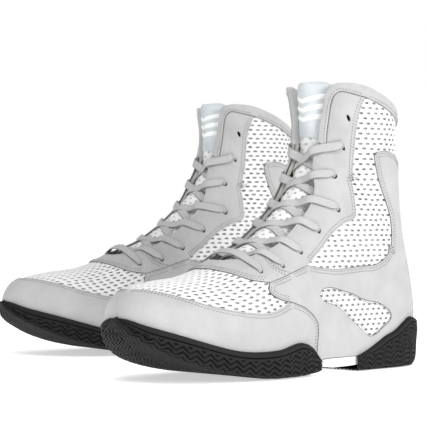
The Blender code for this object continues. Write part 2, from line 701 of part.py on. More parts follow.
def tongue_rows(start, end, count):
    rows = []
    for i in range(count + 1):
        s = start + (end - start) * i / count
        edge = height_at(TONGUE_EDGE, s)
        if end >= TONGUE_TOP_S:
            near_top = max(0.0, (s - (TONGUE_TOP_S - 1.6)) / 1.6)
            edge *= 1.0 - 0.30 * near_top ** 2
        deep = TONGUE_DEPTH + 1.5 * min(1.0, max(0.0, (s - 10.5) / 1.5))
        left = lifted(s, edge, -deep)
        right = lifted(s, -edge, -deep)
        out = normal(s, 0.0)
        row = []
        for k in range(7):
            q = k / 3.0 - 1.0
            crown = (TONGUE_CROWN + 1.5 * max(0.0, min(1.0, (s - 10.0) / 2.0))) * (1 - q * q)
            p = left.lerp(right, k / 6.0) + out * crown
            row.append((p, p - out * TONGUE_THICKNESS * (1.0 - 0.5 * q * q)))
        rows.append(row)
    return rows


def tongue(boot):
    grid_shell("tongue", tongue_rows(5.5, TONGUE_SPLIT_S - 0.06, 12), MESH, boot)
    hinge = lifted(TONGUE_SPLIT_S, 0.0, -TONGUE_DEPTH - 2.0)
    grid_shell("tongue_top", tongue_rows(TONGUE_SPLIT_S + 0.06, TONGUE_TOP_S, 8), SATIN, boot, hinge)


def lace_half(side, top_side):
    """From the middle of the bottom bar to one tucked end; side is the one it starts towards.

    At each crossing the run that lands on top_side lies above the other one.
    """
    s, v = EYELETS[0]
    points = [lifted(s, side * 0.16, LACE_OVER), lifted(s, side * (v - 0.06), LACE_OVER)]
    for (s, v), following in zip(EYELETS[:LACED_PAIRS], EYELETS[1:LACED_PAIRS] + [None]):
        points += [lifted(s, side * v, 1.9), lifted(s, side * v, -5.9)]
        if following is None:
            points += [lifted(s + 0.35, side * (v - 0.02), LACE_UNDER),
                       lifted(s + 1.5, side * (v - 0.02), LACE_UNDER)]
            break
        next_s, next_v = following
        step = next_s - s
        under_s = min(s + step * 0.4, LAST_LANDING_S - 0.3)
        over = LACE_OVER + (BINDING_PROUD if next_s > BINDING_END[0][0] else 0.0)
        edge = throat_edge(under_s)
        points.append(lifted(s + step * 0.2, side * (v - 0.04), LACE_UNDER))
        points.append(lifted(under_s, side * (edge + 0.01), LACE_UNDER))
        rise = lifted(under_s + step * 0.08, side * (edge - 0.06), -1.6)
        land_s = min(s + step * 0.93, LAST_LANDING_S)
        land = lifted(land_s, -side * throat_edge(land_s), over)
        middle = rise.lerp(land, 0.5) + normal(s + step / 2, 0.0) * (1.5 if -side == top_side else -1.4)
        points += [rise, middle, land, lifted(next_s - 0.02, -side * (next_v - 0.05), over)]
        side = -side
    return points


def throat_edge(s):
    """The v of the throat opening's edge at s."""
    return height_at(THROAT_INNER[2:] + EYESTAY_FRONT[1:] + BINDING_FRONT[::-1][1:], s)


def lace(boot, top_side):
    bar = [lifted(EYELETS[0][0], 0.0, LACE_OVER + 0.3)]
    path = lace_half(-1, top_side)[::-1] + bar + lace_half(1, top_side)
    curve = bpy.data.curves.new(boot.label + "_lace", "CURVE")
    curve.dimensions = "3D"
    curve.bevel_depth = LACE_RADIUS * MM
    curve.bevel_resolution = 1
    curve.use_fill_caps = True
    run = curve.splines.new("POLY")
    run.points.add(len(path) - 1)
    for spot, p in zip(run.points, path):
        spot.co = boot.local(p).to_tuple() + (1.0,)
    curve.materials.append(material(LACE))
    piece = bpy.data.objects.new(boot.label + "_lace", curve)
    piece.parent = boot.frame
    boot.collection.objects.link(piece)


def build(label, side, collection):
    boot = Boot(label, side, collection)
    upper_panels(boot)
    linings(boot)
    stiffeners(boot)
    forefoot_outsole(boot)
    heel_outsole(boot)
    inner_sole(boot)
    tongue(boot)
    lace(boot, side)


def main():
    for old in list(bpy.data.objects):
        bpy.data.objects.remove(old, do_unlink=True)
    collection = bpy.data.collections.new("boxing_boots")
    bpy.context.scene.collection.children.link(collection)
    build("left", 1, collection)
    build("right", -1, collection)


main()
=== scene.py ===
"""Looks of the pair of boxing boots, built on the same last as the CAD part.

A place on the last has two pattern coordinates. s runs from the toe tip (0) to the collar (17). v runs from
the front ridge (0) to the sole edge or back seam (1), and is negative on the medial side. Lengths are in
millimetres up to place().
"""

import math

import bpy
import numpy as np
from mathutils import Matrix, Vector
from mathutils.geometry import delaunay_2d_cdt


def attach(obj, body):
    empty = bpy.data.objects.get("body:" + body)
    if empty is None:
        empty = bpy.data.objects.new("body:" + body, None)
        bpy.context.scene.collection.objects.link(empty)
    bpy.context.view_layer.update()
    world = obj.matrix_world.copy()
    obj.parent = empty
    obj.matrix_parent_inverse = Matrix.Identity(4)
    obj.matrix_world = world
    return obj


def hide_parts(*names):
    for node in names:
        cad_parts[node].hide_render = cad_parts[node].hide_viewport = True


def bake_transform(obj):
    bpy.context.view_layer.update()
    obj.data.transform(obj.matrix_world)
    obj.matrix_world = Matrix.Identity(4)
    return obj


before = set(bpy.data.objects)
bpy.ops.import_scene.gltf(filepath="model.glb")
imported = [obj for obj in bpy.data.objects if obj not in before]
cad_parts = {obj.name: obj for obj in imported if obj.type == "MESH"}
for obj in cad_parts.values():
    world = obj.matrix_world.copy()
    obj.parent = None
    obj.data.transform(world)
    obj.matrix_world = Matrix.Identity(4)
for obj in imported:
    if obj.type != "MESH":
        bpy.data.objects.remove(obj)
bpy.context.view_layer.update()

MM = 0.001
BOOT_OFFSET_Y, TOE_OUT_DEG, PIVOT_X, RIGHT_BOOT_BACK, PAIR_CENTRE_X = 121.0, 5.5, 100.0, 80.0, 103.3

LAST = np.array([
    (290, 45, 290, 45, 0, 0, 0.42, 6, 2.0),
    (283, 35, 282, 60, 20.5, 19, 0.42, 4.5, 2.0),
    (268, 26, 270, 66, 33, 31, 0.42, 1.5, 2.0),
    (245, 17, 250, 70, 43.5, 41, 0.40, -1, 2.0),
    (215, 11, 225, 73, 49, 46, 0.36, 0, 2.0),
    (183, 9, 200, 81, 51, 48, 0.33, 1, 2.0),
    (152, 9, 177, 93, 48, 44, 0.33, 1, 2.0),
    (120, 11, 156, 105, 43, 38, 0.35, 0, 2.1),
    (87, 11, 136, 121, 40, 34, 0.38, -1, 2.2),
    (52, 12, 119, 139, 38, 32, 0.42, -2, 2.3),
    (20, 14, 108, 157, 37, 28, 0.44, -3, 2.4),
    (-4, 20, 103, 172, 36, 0, 0.46, -3, 2.5),
    (-3, 47, 101, 184, 35, 0, 0.46, -4, 2.5),
    (6, 78, 100, 194, 35, 0, 0.46, -4, 2.5),
    (12, 107, 100, 204, 36, 0, 0.46, -4, 2.6),
    (15, 136, 101, 213, 37, 0, 0.46, -4, 2.6),
    (17, 166, 102, 222, 38, 0, 0.46, -4, 2.6),
    (18, 198, 103, 231, 38, 0, 0.46, -4, 2.6),
])
HEEL_ROW, CORNER_ROW, HEEL_HALF_WIDTH = 9.0, 11.0, 32.0
MIRRORED_ROW = LAST[1].copy()
MIRRORED_ROW[[1, 3, 4, 5]] = (
    2 * LAST[0, 1] - LAST[1, 1], 2 * LAST[0, 3] - LAST[1, 3], -LAST[1, 4], -LAST[1, 5],
)
ROWS = np.vstack([MIRRORED_ROW, LAST])

# Edge curves on the lateral side, as (s, v). They follow the CAD part's, apart from the tongue's top and the
# forefoot's depth, which differ a little.
TOE_CAP_TOP = [
    (1.5, 0), (1.75, 0.15), (2.1, 0.28), (2.5, 0.39), (3.2, 0.52), (4.0, 0.595), (5.0, 0.665), (6.0, 0.64),
]
TOE_CAP_REAR = [(6.0, 0.64), (6.5, 0.71), (6.8, 0.80), (6.65, 0.90), (6.5, 1.0)]
OVERLAY_FRONT = [(6.0, 0.64), (5.65, 0.60), (5.42, 0.53), (5.6, 0.465)]
THROAT_FRONT = [(4.6, 0), (4.75, 0.19), (5.1, 0.37), (5.6, 0.465)]
THROAT_INNER = [(5.2, 0), (5.25, 0.08), (5.5, 0.16), (5.9, 0.22), (6.3, 0.25)]
TAB_SEAM = [(6.3, 0.25), (6.15, 0.38), (6.5, 0.48)]
OVERLAY_TOP_FRONT = [(5.6, 0.465), (6.05, 0.475), (6.5, 0.48)]
OVERLAY_TOP_REAR = [(6.5, 0.48), (6.9, 0.488), (7.25, 0.495)]
EYESTAY_FRONT = [
    (6.3, 0.25), (6.9, 0.27), (7.8, 0.27), (8.6, 0.27), (9.2, 0.24), (9.7, 0.17), (10.3, 0.125),
    (10.95, 0.11),
]
BINDING_END = [(10.95, 0.11), (11.1, 0.16)]
BINDING_INNER = [(11.1, 0.16), (13.1, 0.175), (14.4, 0.195), (15.1, 0.225), (15.45, 0.265), (16.0, 0.38)]
BINDING_LOWER = [(16.0, 0.38), (16.22, 0.47), (16.35, 0.60), (16.45, 0.80), (16.55, 1.0)]
COLLAR_TOP = [
    (16.75, 1.0), (16.7, 0.80), (16.7, 0.60), (16.65, 0.47), (16.5, 0.37), (16.15, 0.29), (15.75, 0.23),
    (15.3, 0.18),
]
BINDING_FRONT = [(15.3, 0.18), (14.4, 0.15), (13.1, 0.13), (12.0, 0.115), (10.95, 0.11)]
EYESTAY_REAR = [
    (16.0, 0.38), (15.28, 0.352), (14.48, 0.333), (13.11, 0.316), (12.18, 0.304), (11.3, 0.294),
    (11.0, 0.305),
    (10.64, 0.37), (10.21, 0.442), (10.04, 0.474), (9.68, 0.492), (9.07, 0.477), (8.52, 0.468), (7.8, 0.478),
    (7.25, 0.495),
]
MESH_LOWER = [
    (7.25, 0.495), (7.64, 0.543), (8.43, 0.619), (8.91, 0.655), (9.44, 0.685), (9.82, 0.681), (10.21, 0.651),
    (10.45, 0.623), (10.65, 0.593), (10.85, 0.55), (11.03, 0.50), (11.3, 0.498), (11.64, 0.504), (12.0, 0.51),
    (12.36, 0.508), (12.66, 0.486), (12.95, 0.458), (13.3, 0.44), (13.85, 0.43), (14.3, 0.465), (14.9, 0.55),
    (15.3, 0.70), (15.3, 0.85), (15.1, 1.0),
]
WINDOW = [
    (7.2, 0.67), (7.4, 0.645), (7.8, 0.66), (8.3, 0.72), (8.8, 0.785), (9.5, 0.83), (9.7, 0.855), (9.6, 0.88),
    (9.3, 0.90), (8.7, 0.925), (8.4, 0.88), (8.1, 0.82), (7.8, 0.76), (7.3, 0.705),
]
EYELETS = [
    (5.6, 0.36), (6.4, 0.41), (7.3, 0.41), (8.3, 0.40), (9.4, 0.42), (10.2, 0.30), (12.0, 0.25), (14.0, 0.28),
]
LACED_PAIRS = 7
FOREFOOT_RIM = [
    (0.0, 0.80), (0.8, 0.88), (1.6, 0.89), (2.7, 0.895), (4.3, 0.915), (5.1, 0.91), (5.9, 0.88),
    (6.3, 0.91), (6.65, 1.0),
]
HEEL_RIM = [
    (8.1, 1.0), (9.0, 0.945), (9.6, 0.92), (10.1, 0.885), (10.6, 0.845), (11.2, 0.855), (11.5, 0.92),
    (11.55, 1.0),
]
HEEL_FEATHER = [(s, 1.0) for s in (8.1, 8.9, 9.5, 10.0, 10.5, 10.8, 10.95, 11.0)]
FOREFOOT_DEPTH = [(0.0, 4.6), (2.0, 4.8), (3.0, 5.3), (4.0, 6.8), (4.8, 8.6), (5.4, 9.0), (6.65, 9.0)]
TONGUE_EDGE = [
    (5.45, 0.20), (6.3, 0.36), (7.3, 0.39), (8.5, 0.39), (9.6, 0.38), (10.4, 0.28), (11.2, 0.245),
    (15.6, 0.245),
]
TONGUE_SPLIT_S, TONGUE_TOP_S, TONGUE_DEPTH = 11.3, 15.25, 8.2
TONGUE_COLUMNS, PATCH_RAISED = 41, 0.7
WINDOW_SPARE = 2.0

# Heights of the layers over the last
SUEDE = (0.35, -0.9)
MESH_SHEET = (-0.75, -1.35)
MESH_BACK = (-2.0, -2.4)
BINDING = (1.0, -4.6)
FACING = (-1.6, -4.2)
LINING = (-4.9, -5.9)


# ---------------------------------------------------------------- the last

def rows_at(s):
    at = np.clip(np.asarray(s, float) + 1.0, 0.0, len(ROWS) - 1 - 1e-9)
    i = np.floor(at).astype(int)
    t = (at - i)[..., None]
    a, b = ROWS[i], ROWS[i + 1]
    before = np.where((i > 0)[..., None], ROWS[np.maximum(i - 1, 0)], 2 * a - b)
    after = np.where((i + 2 < len(ROWS))[..., None], ROWS[np.minimum(i + 2, len(ROWS) - 1)], 2 * b - a)
    bend = (2 * before - 5 * a + 4 * b - after) * t * t + (3 * a - before - 3 * b + after) * t ** 3
    row = 0.5 * (2 * a + (b - before) * t + bend)
    row[..., 4] = np.maximum(row[..., 4], 1e-4)
    along = np.clip((np.asarray(s, float) - HEEL_ROW) / (CORNER_ROW - HEEL_ROW), 0.0, 1.0)
    row[..., 5] = np.where(along > 0, HEEL_HALF_WIDTH * np.sqrt(1.0 - along ** 2), row[..., 5])
    row[..., 5] = np.clip(row[..., 5], 0.0, row[..., 4] * 0.999)
    return row


def on_last(s, v):
    s, v = np.broadcast_arrays(np.asarray(s, float), np.asarray(v, float))
    x0, z0, x1, z1, width, sole, widest, shift, square = np.moveaxis(rows_at(s), -1, 0)
    under = np.arccos(sole / width)
    turn = np.abs(v) * (math.pi / 2 + under)
    high, low = np.clip(turn, 0, math.pi / 2), np.clip(turn - math.pi / 2, 0, None)
    reach = (np.clip(np.cos(high), 0, 1) ** square + np.sin(high) ** square) ** (-1.0 / square)
    upper = turn < math.pi / 2
    y = np.where(upper, width * reach * np.sin(high), width * np.cos(low))
    rise = widest + (1.0 - widest) * reach * np.cos(high)
    drop = widest * (1.0 - np.sin(low) / np.maximum(np.sin(under), 1e-6))
    h = np.where(upper, rise, drop)
    y = np.where(v < 0, -y, y)
    return np.stack([x0 + (x1 - x0) * h, shift + y, z0 + (z1 - z0) * h], -1)


def unit(a):
    return a / np.maximum(np.linalg.norm(a, axis=-1, keepdims=True), 1e-9)


def normal(s, v):
    s, v = np.broadcast_arrays(np.asarray(s, float), np.asarray(v, float))
    s = np.clip(s, 0.06, 17.0)
    along = on_last(np.minimum(s + 0.03, 17.0), v) - on_last(s - 0.03, v)
    across = on_last(s, np.minimum(v + 0.006, 1.0)) - on_last(s, np.maximum(v - 0.006, -1.0))
    return unit(np.cross(across, along))


def lifted(s, v, distance):
    return on_last(s, v) + normal(s, v) * np.asarray(distance, float)[..., None]


def spline(points, at):
    points = np.asarray(points, float)
    at = np.clip(np.asarray(at, float), 0, len(points) - 1 - 1e-9)
    i = np.floor(at).astype(int)
    t = (at - i)[..., None]
    a, b = points[i], points[i + 1]
    before = np.where((i > 0)[..., None], points[np.maximum(i - 1, 0)], 2 * a - b)
    after = np.where((i + 2 < len(points))[..., None], points[np.minimum(i + 2, len(points) - 1)], 2 * b - a)
    bend = (2 * before - 5 * a + 4 * b - after) * t * t + (3 * a - before - 3 * b + after) * t ** 3
    return 0.5 * (2 * a + (b - before) * t + bend)


def lengths(points):
    return np.concatenate([[0.0], np.cumsum(np.linalg.norm(np.diff(points, axis=0), axis=1))])


def sample(points, step=4.0):
    """Places along a smooth edge curve, about step millimetres apart on the last."""
    fine = spline(points, np.linspace(0, len(points) - 1, 60 * len(points)))
    run = lengths(on_last(fine[:, 0], fine[:, 1]))
    count = max(1, int(round(run[-1] / step)))
    at = np.linspace(0, run[-1], count + 1)
    picked = np.stack([np.interp(at, run, fine[:, k]) for k in (0, 1)], 1)
    picked[0], picked[-1] = points[0], points[-1]
    return picked


def flipped(places):
    return np.asarray(places, float) * np.array([1.0, -1.0])


def back(places):
    return places[::-1]


def loop(*curves):
    return np.vstack([c[:-1] for c in curves])


def height_at(curve, s):
    curve = np.asarray(curve, float)
    return np.interp(s, curve[:, 0], curve[:, 1])


FLAT = np.array([20.0, 85.0])


def inside(points, outline):
    x, y = points[:, 0], points[:, 1]
    odd = np.zeros(len(points), bool)
    for (x0, y0), (x1, y1) in zip(outline, np.roll(outline, -1, axis=0)):
        if y0 != y1:
            odd ^= ((y0 > y) != (y1 > y)) & (x < (x1 - x0) * (y - y0) / (y1 - y0) + x0)
    return odd


def metric(s, v):
    """Millimetres on the last for one unit of s and of v."""
    along = np.linalg.norm(on_last(s + 0.02, v) - on_last(s - 0.02, v), axis=-1) / 0.04
    across = np.linalg.norm(on_last(s, v + 0.004) - on_last(s, v - 0.004), axis=-1) / 0.008
    return np.maximum(along, 1.0), np.maximum(across, 1.0)


def on_surface(s, v, goal):
    """The change of s and v that moves a place on the last by a small vector in millimetres."""
    target = on_last(s, v) + goal
    new_s, new_v = s + 0.0, v + 0.0
    for _ in range(10):
        miss = target - on_last(new_s, new_v)
        ds = (on_last(new_s + 0.02, new_v) - on_last(new_s - 0.02, new_v)) / 0.04
        dv = (on_last(new_s, new_v + 0.004) - on_last(new_s, new_v - 0.004)) / 0.008
        a, b, d = (np.sum(x * y, axis=-1) for x, y in ((ds, ds), (ds, dv), (dv, dv)))
        e, f = np.sum(ds * miss, axis=-1), np.sum(dv * miss, axis=-1)
        a, d = a * 1.01 + 1.0, d * 1.01 + 40.0
        det = a * d - b * b
        new_s = new_s + np.clip((e * d - b * f) / det, -0.12, 0.12)
        new_v = new_v + np.clip((a * f - b * e) / det, -0.012, 0.012)
    return new_s - s, new_v - v


def ring_holes(centres, half_along, half_across, sides=8):
    """Outlines of small oval holes, one row of places for each centre."""
    centres = np.asarray(centres, float)
    along, across = metric(centres[:, 0], centres[:, 1])
    angle = 2 * math.pi * (np.arange(sides) + 0.5) / sides
    s = centres[:, :1] + half_along * np.cos(angle)[None] / along[:, None]
    v = centres[:, 1:] + half_across * np.sin(angle)[None] / across[:, None]
    return np.stack([s, v], -1)


# ---------------------------------------------------------------- meshes and objects

class Shape:
    """Points, faces and a material number for each face, in the left boot's own millimetres."""

    def __init__(self):
        self.points, self.faces, self.kinds, self.count, self.uvs = [], [], [], 0, []

    def add(self, points, faces, kind=0, uv=None):
        points = np.asarray(points, float).reshape(-1, 3)
        self.points.append(points)
        self.uvs.append(np.zeros((len(points), 2)) if uv is None else np.asarray(uv, float).reshape(-1, 2))
        faces = [tuple(int(k) + self.count for k in f) for f in faces]
        self.faces += faces
        self.kinds += [kind] * len(faces)
        self.count += len(points)


def place(points, side):
    x, y, z = points[:, 0] - PIVOT_X, side * points[:, 1], points[:, 2]
    a = side * math.radians(TOE_OUT_DEG)
    left_back = 0.0 if side > 0 else RIGHT_BOOT_BACK
    return np.stack([
        x * math.cos(a) - y * math.sin(a) + PIVOT_X - left_back - PAIR_CENTRE_X,
        x * math.sin(a) + y * math.cos(a) + side * BOOT_OFFSET_Y,
        z,
    ], -1) * MM


def boots(name, shape, materials, nodes=(), body="boot", smooth_deg=50, sides=(1, -1)):
    """Makes the piece on the left boot and its mirror image on the right one."""
    made = []
    points = np.vstack(shape.points)
    uvs = np.vstack(shape.uvs)
    for side in sides:
        label = "left" if side > 0 else "right"
        mesh = bpy.data.meshes.new(f"{label}_{name}")
        faces = shape.faces if side > 0 else [f[::-1] for f in shape.faces]
        mesh.from_pydata(place(points, side).tolist(), [], faces)
        mesh.polygons.foreach_set("material_index", shape.kinds)
        layer = mesh.uv_layers.new(name="UVMap")
        index = np.zeros(len(mesh.loops), int)
        mesh.loops.foreach_get("vertex_index", index)
        layer.data.foreach_set("uv", uvs[index].astype(np.float32).ravel())
        for material in materials:
            mesh.materials.append(material)
        mesh.shade_smooth()
        mesh.set_sharp_from_angle(angle=math.radians(smooth_deg))
        piece = bpy.data.objects.new(f"{label}_visual_{name}", mesh)
        bpy.context.scene.collection.objects.link(piece)
        if body == "boot":
            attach(piece, label + "_boot")
        if nodes:
            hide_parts(*[f"{label}_{n}" for n in nodes])
        made.append(piece)
    return made


def cut(outline, holes, step):
    """Cuts an outline with holes into triangles. Returns places and index triples."""
    rings = [outline] + list(holes)
    flat = [ring * FLAT for ring in rings]
    edges, first = [], 0
    for ring in flat:
        edges += [(first + i, first + (i + 1) % len(ring)) for i in range(len(ring))]
        first += len(ring)
    border = np.vstack(flat)
    lo, hi = flat[0].min(0), flat[0].max(0)
    grid = []
    for i, x in enumerate(np.arange(lo[0] + step * 0.5, hi[0], step * 0.87)):
        y = np.arange(lo[1] + (step * 0.5 if i % 2 else 0.1), hi[1], step)
        grid.append(np.stack([np.full_like(y, x), y], 1))
    grid = np.vstack(grid) if grid else np.zeros((0, 2))
    grid = grid[inside(grid, flat[0])]
    if len(grid):
        near = np.array([np.min(np.sum((border - p) ** 2, axis=1)) for p in grid])
        grid = grid[near > (step * 0.55) ** 2]
    centres = np.array([h.mean(0) for h in flat[1:]])
    if len(holes) and len(grid):
        reach = np.array([np.abs(h - h.mean(0)).max(0) for h in flat[1:]]) * 1.15
        free = np.array([not np.any(np.sum(((p - centres) / reach) ** 2, axis=1) < 1) for p in grid])
        grid = grid[free]
    cloud = np.vstack([border, grid])
    result = delaunay_2d_cdt([Vector(p) for p in cloud], edges, [], 0, 1e-6)
    points = np.array([tuple(p) for p in result[0]])
    faces = np.array([f for f in result[2] if len(f) == 3])
    middle = points[faces].mean(1)
    keep = inside(middle, flat[0])
    if len(holes):
        for ring, centre in zip(flat[1:], centres):
            reach = np.abs(ring - centre).max(0) + 0.01
            close = np.where(keep & (np.abs(middle - centre) <= reach).all(1))[0]
            if len(close):
                keep[close[inside(middle[close], ring)]] = False
    faces = faces[keep]
    a, b, c = (points[faces[:, k]] for k in range(3))
    turn = (b - a)[:, 0] * (c - a)[:, 1] - (b - a)[:, 1] * (c - a)[:, 0]
    faces[turn < 0] = faces[turn < 0][:, ::-1]
    return points / FLAT, faces


def panel(shape, outlines, layer, holes=(), gap=0.15, step=5.0, roll=0.45, both_rolled=False, kinds=(0, 1)):
    """A sheet cut on the last between two heights, with rolled edges."""
    places, faces, first = [], [], 0
    for outline in outlines:
        flat = outline * FLAT
        own = [h for h in holes if inside((h * FLAT).mean(0)[None], flat)[0]]
        p, f = cut(outline, own, step)
        places.append(p)
        faces.append(f + first)
        first += len(p)
    places, faces = np.vstack(places), np.vstack(faces)
    base = on_last(places[:, 0], places[:, 1])
    keys = np.round(base * 50).astype(np.int64)
    _, pick, turned = np.unique(keys, axis=0, return_index=True, return_inverse=True)
    turned = turned.ravel()
    places, base, faces = places[pick], base[pick], turned[faces]
    proper = (faces[:, 0] != faces[:, 1]) & (faces[:, 1] != faces[:, 2]) & (faces[:, 0] != faces[:, 2])
    faces = faces[proper]
    n = len(places)
    out = normal(places[:, 0], places[:, 1])
    edges = np.vstack([faces[:, [0, 1, 2]], faces[:, [1, 2, 0]], faces[:, [2, 0, 1]]])
    lonely = ~np.isin(edges[:, 0] * n + edges[:, 1], edges[:, 1] * n + edges[:, 0])
    rim = edges[lonely]
    a, b, c = base[rim[:, 0]], base[rim[:, 1]], base[rim[:, 2]]
    along = unit(b - a)
    inward = unit((c - a) - along * np.sum((c - a) * along, axis=1)[:, None])
    pull = np.zeros((n, 3))
    np.add.at(pull, rim[:, 0], inward)
    np.add.at(pull, rim[:, 1], inward)
    pull = pull - out * np.sum(pull * out, axis=1)[:, None]
    size = np.linalg.norm(pull, axis=1, keepdims=True)
    pull = np.where(size > 1e-6, pull / np.maximum(size, 1e-9) / np.maximum(size / 2, 0.5), 0.0)
    top, bottom = layer
    top = np.full(n, float(top))

    def ring(inset, height):
        return base + pull * inset + out * np.asarray(height, float).reshape(-1, 1)

    low_roll = roll if both_rolled else 0.0
    stack = [ring(gap + roll, top), ring(gap + roll * 0.3, top - roll * 0.3), ring(gap, top - roll)]
    if both_rolled:
        stack += [ring(gap, bottom + low_roll), ring(gap + roll * 0.3, bottom + roll * 0.3)]
    stack.append(ring(gap + low_roll, bottom))
    rim_points = np.unique(rim[:, :2])
    slot_of = -np.ones(n, int)
    slot_of[rim_points] = np.arange(len(rim_points))
    m = len(rim_points)
    points = [stack[0], stack[-1]] + [level[rim_points] for level in stack[1:-1]]
    tops = [tuple(f) for f in faces]
    bottoms = [tuple(k + n for k in f[::-1]) for f in faces]
    walls = []
    for e0, e1 in rim[:, :2]:
        chain0 = [e0] + [2 * n + k * m + slot_of[e0] for k in range(len(stack) - 2)] + [e0 + n]
        chain1 = [e1] + [2 * n + k * m + slot_of[e1] for k in range(len(stack) - 2)] + [e1 + n]
        for k in range(len(chain0) - 1):
            walls.append((chain1[k], chain0[k], chain0[k + 1], chain1[k + 1], k))
    first = shape.count
    shape.add(np.vstack(points), tops, kinds[0])
    shape.faces += [tuple(k + first for k in f) for f in bottoms]
    shape.kinds += [kinds[0]] * len(bottoms)
    # Walls below the top roll take kinds[1], the second material, which carries the painted edge shade of
    # suede panels and the painted hole shade of mesh panels.
    shape.faces += [tuple(k + first for k in f[:4]) for f in walls]
    shape.kinds += [kinds[1] if f[4] > 1 else kinds[0] for f in walls]
    return shape


def grid_faces(rows, columns):
    i, j = np.meshgrid(np.arange(rows - 1), np.arange(columns - 1), indexing="ij")
    a = (i * columns + j).ravel()
    return np.stack([a, a + columns, a + columns + 1, a + 1], 1)


def closed_grid(shape, outer, inner, kind=0):
    """A closed body between two grids of points."""
    rows, columns = outer.shape[:2]
    faces = grid_faces(rows, columns)
    n = rows * columns
    index = np.arange(n).reshape(rows, columns)
    rim = np.concatenate([index[0, :], index[1:, -1], index[-1, -2::-1], index[-2:0:-1, 0]])
    follow = np.roll(rim, -1)
    walls = np.stack([rim, follow, follow + n, rim + n], 1)
    shape.add(np.concatenate([outer.reshape(-1, 3), inner.reshape(-1, 3)]),
              np.vstack([faces, faces[:, ::-1] + n, walls[:, ::-1]]), kind)


# ---------------------------------------------------------------- materials

def new_material(name, colour, roughness, sheen=0.0):
    material = bpy.data.materials.new(name)
    material.use_nodes = True
    shader = material.node_tree.nodes["Principled BSDF"]
    shader.inputs["Base Color"].default_value = tuple(colour) + (1.0,)
    shader.inputs["Roughness"].default_value = roughness
    shader.inputs["Sheen Weight"].default_value = sheen
    shader.inputs["Sheen Roughness"].default_value = 0.5
    shader.inputs["Specular IOR Level"].default_value = 0.3
    return material, material.node_tree.nodes, material.node_tree.links, shader


def noise(nodes, links, coords, scale, detail=3.0, rough=0.6):
    node = nodes.new("ShaderNodeTexNoise")
    node.inputs["Scale"].default_value = scale
    node.inputs["Detail"].default_value = detail
    node.inputs["Roughness"].default_value = rough
    links.new(coords, node.inputs["Vector"])
    return node.outputs["Fac"]


def ramp(nodes, links, value, low, high, at=(0.3, 0.7)):
    node = nodes.new("ShaderNodeValToRGB")
    node.color_ramp.elements[0].position, node.color_ramp.elements[1].position = at
    node.color_ramp.elements[0].color = tuple(low) + (1.0,)
    node.color_ramp.elements[1].color = tuple(high) + (1.0,)
    links.new(value, node.inputs["Fac"])
    return node.outputs["Color"]


def bump(nodes, links, shader, height, distance, strength=1.0):
    node = nodes.new("ShaderNodeBump")
    node.inputs["Distance"].default_value = distance
    node.inputs["Strength"].default_value = strength
    links.new(height, node.inputs["Height"])
    links.new(node.outputs["Normal"], shader.inputs["Normal"])


def add_values(nodes, links, a, b, share=0.5):
    node = nodes.new("ShaderNodeMix")
    node.data_type = "FLOAT"
    node.inputs["Factor"].default_value = share
    links.new(a, node.inputs["A"])
    links.new(b, node.inputs["B"])
    return node.outputs["Result"]


def wave(nodes, links, coords, scale, direction="X"):
    node = nodes.new("ShaderNodeTexWave")
    node.wave_type = "BANDS"
    node.bands_direction = direction
    node.inputs["Scale"].default_value = scale
    links.new(coords, node.inputs["Vector"])
    return node.outputs["Fac"]


def cloth_material(name, low, high, roughness, sheen, mottle, grain, grain_depth, bands=None, shine=0.3):
    """Cloth or leather: a soft mottled colour, a fine grain and, with bands, the ribs of a weave."""
    material, nodes, links, shader = new_material(name, high, roughness, sheen)
    shader.inputs["Specular IOR Level"].default_value = shine
    coords = nodes.new("ShaderNodeTexCoord").outputs["Object"]
    broad = noise(nodes, links, coords, mottle, 4.0)
    fine = noise(nodes, links, coords, grain, 3.0, 0.7)
    mottled = ramp(nodes, links, add_values(nodes, links, broad, fine, 0.45), low, high)
    links.new(mottled, shader.inputs["Base Color"])
    height = fine
    if bands:
        for scale, direction in bands:
            height = add_values(nodes, links, height, wave(nodes, links, coords, scale, direction), 0.5)
    bump(nodes, links, shader, height, grain_depth)
    return material


def grey(level):
    return (level, level, level)


SUEDE_SKIN = cloth_material("suede nap", grey(0.40), grey(0.52), 0.95, 0.35, 55, 1900, 0.00035)
# The suede's cut edges: dark grey, partly the real cut edge and partly painted shade along the panel edges.
SUEDE_CUT_EDGE_AND_SHADE = cloth_material("suede cut edge and painted edge shade", grey(0.10), grey(0.20), 0.95, 0.1, 90, 1500, 0.0003)
MESH_KNIT = cloth_material(
    "mesh knit", grey(0.80), grey(0.93), 0.85, 0.25, 120, 1300, 0.0004, bands=[(420, "X"), (420, "Z")],
)
# The walls of the mesh holes: the same knit painted darker, as painted shade inside the holes.
MESH_WALL_SHADE = cloth_material("mesh hole wall painted shade", grey(0.54), grey(0.70), 0.9, 0.0, 120, 1300, 0.0003)
SPACER = cloth_material("spacer under the mesh", grey(0.42), grey(0.60), 0.95, 0.0, 200, 900, 0.0006)
TAPE = cloth_material(
    "binding tape", grey(0.46), grey(0.60), 0.8, 0.3, 90, 1500, 0.0003, bands=[(700, "X"), (700, "Z")],
)
KNIT = cloth_material(
    "lining knit", (0.48, 0.475, 0.44), (0.62, 0.61, 0.57), 0.95, 0.3, 60, 1200, 0.0006,
    bands=[(260, "Z"), (380, "X")],
)
SATIN = cloth_material(
    "satin weave", (0.50, 0.54, 0.56), (0.62, 0.66, 0.68), 0.38, 0.2, 30, 1600, 0.00012, bands=[(900, "Z")],
)
RUBBER = cloth_material("moulded rubber", grey(0.006), grey(0.012), 0.62, 0.0, 40, 1400, 0.00012, shine=0.22)
FOAM = cloth_material("foam", grey(0.78), grey(0.90), 0.8, 0.0, 60, 1800, 0.0002)
BOARD = cloth_material("fibreboard", (0.40, 0.35, 0.28), (0.55, 0.50, 0.42), 0.95, 0.0, 70, 1500, 0.0003)
THREAD = cloth_material("stitching thread", grey(0.13), grey(0.22), 0.7, 0.0, 90, 2500, 0.0001)
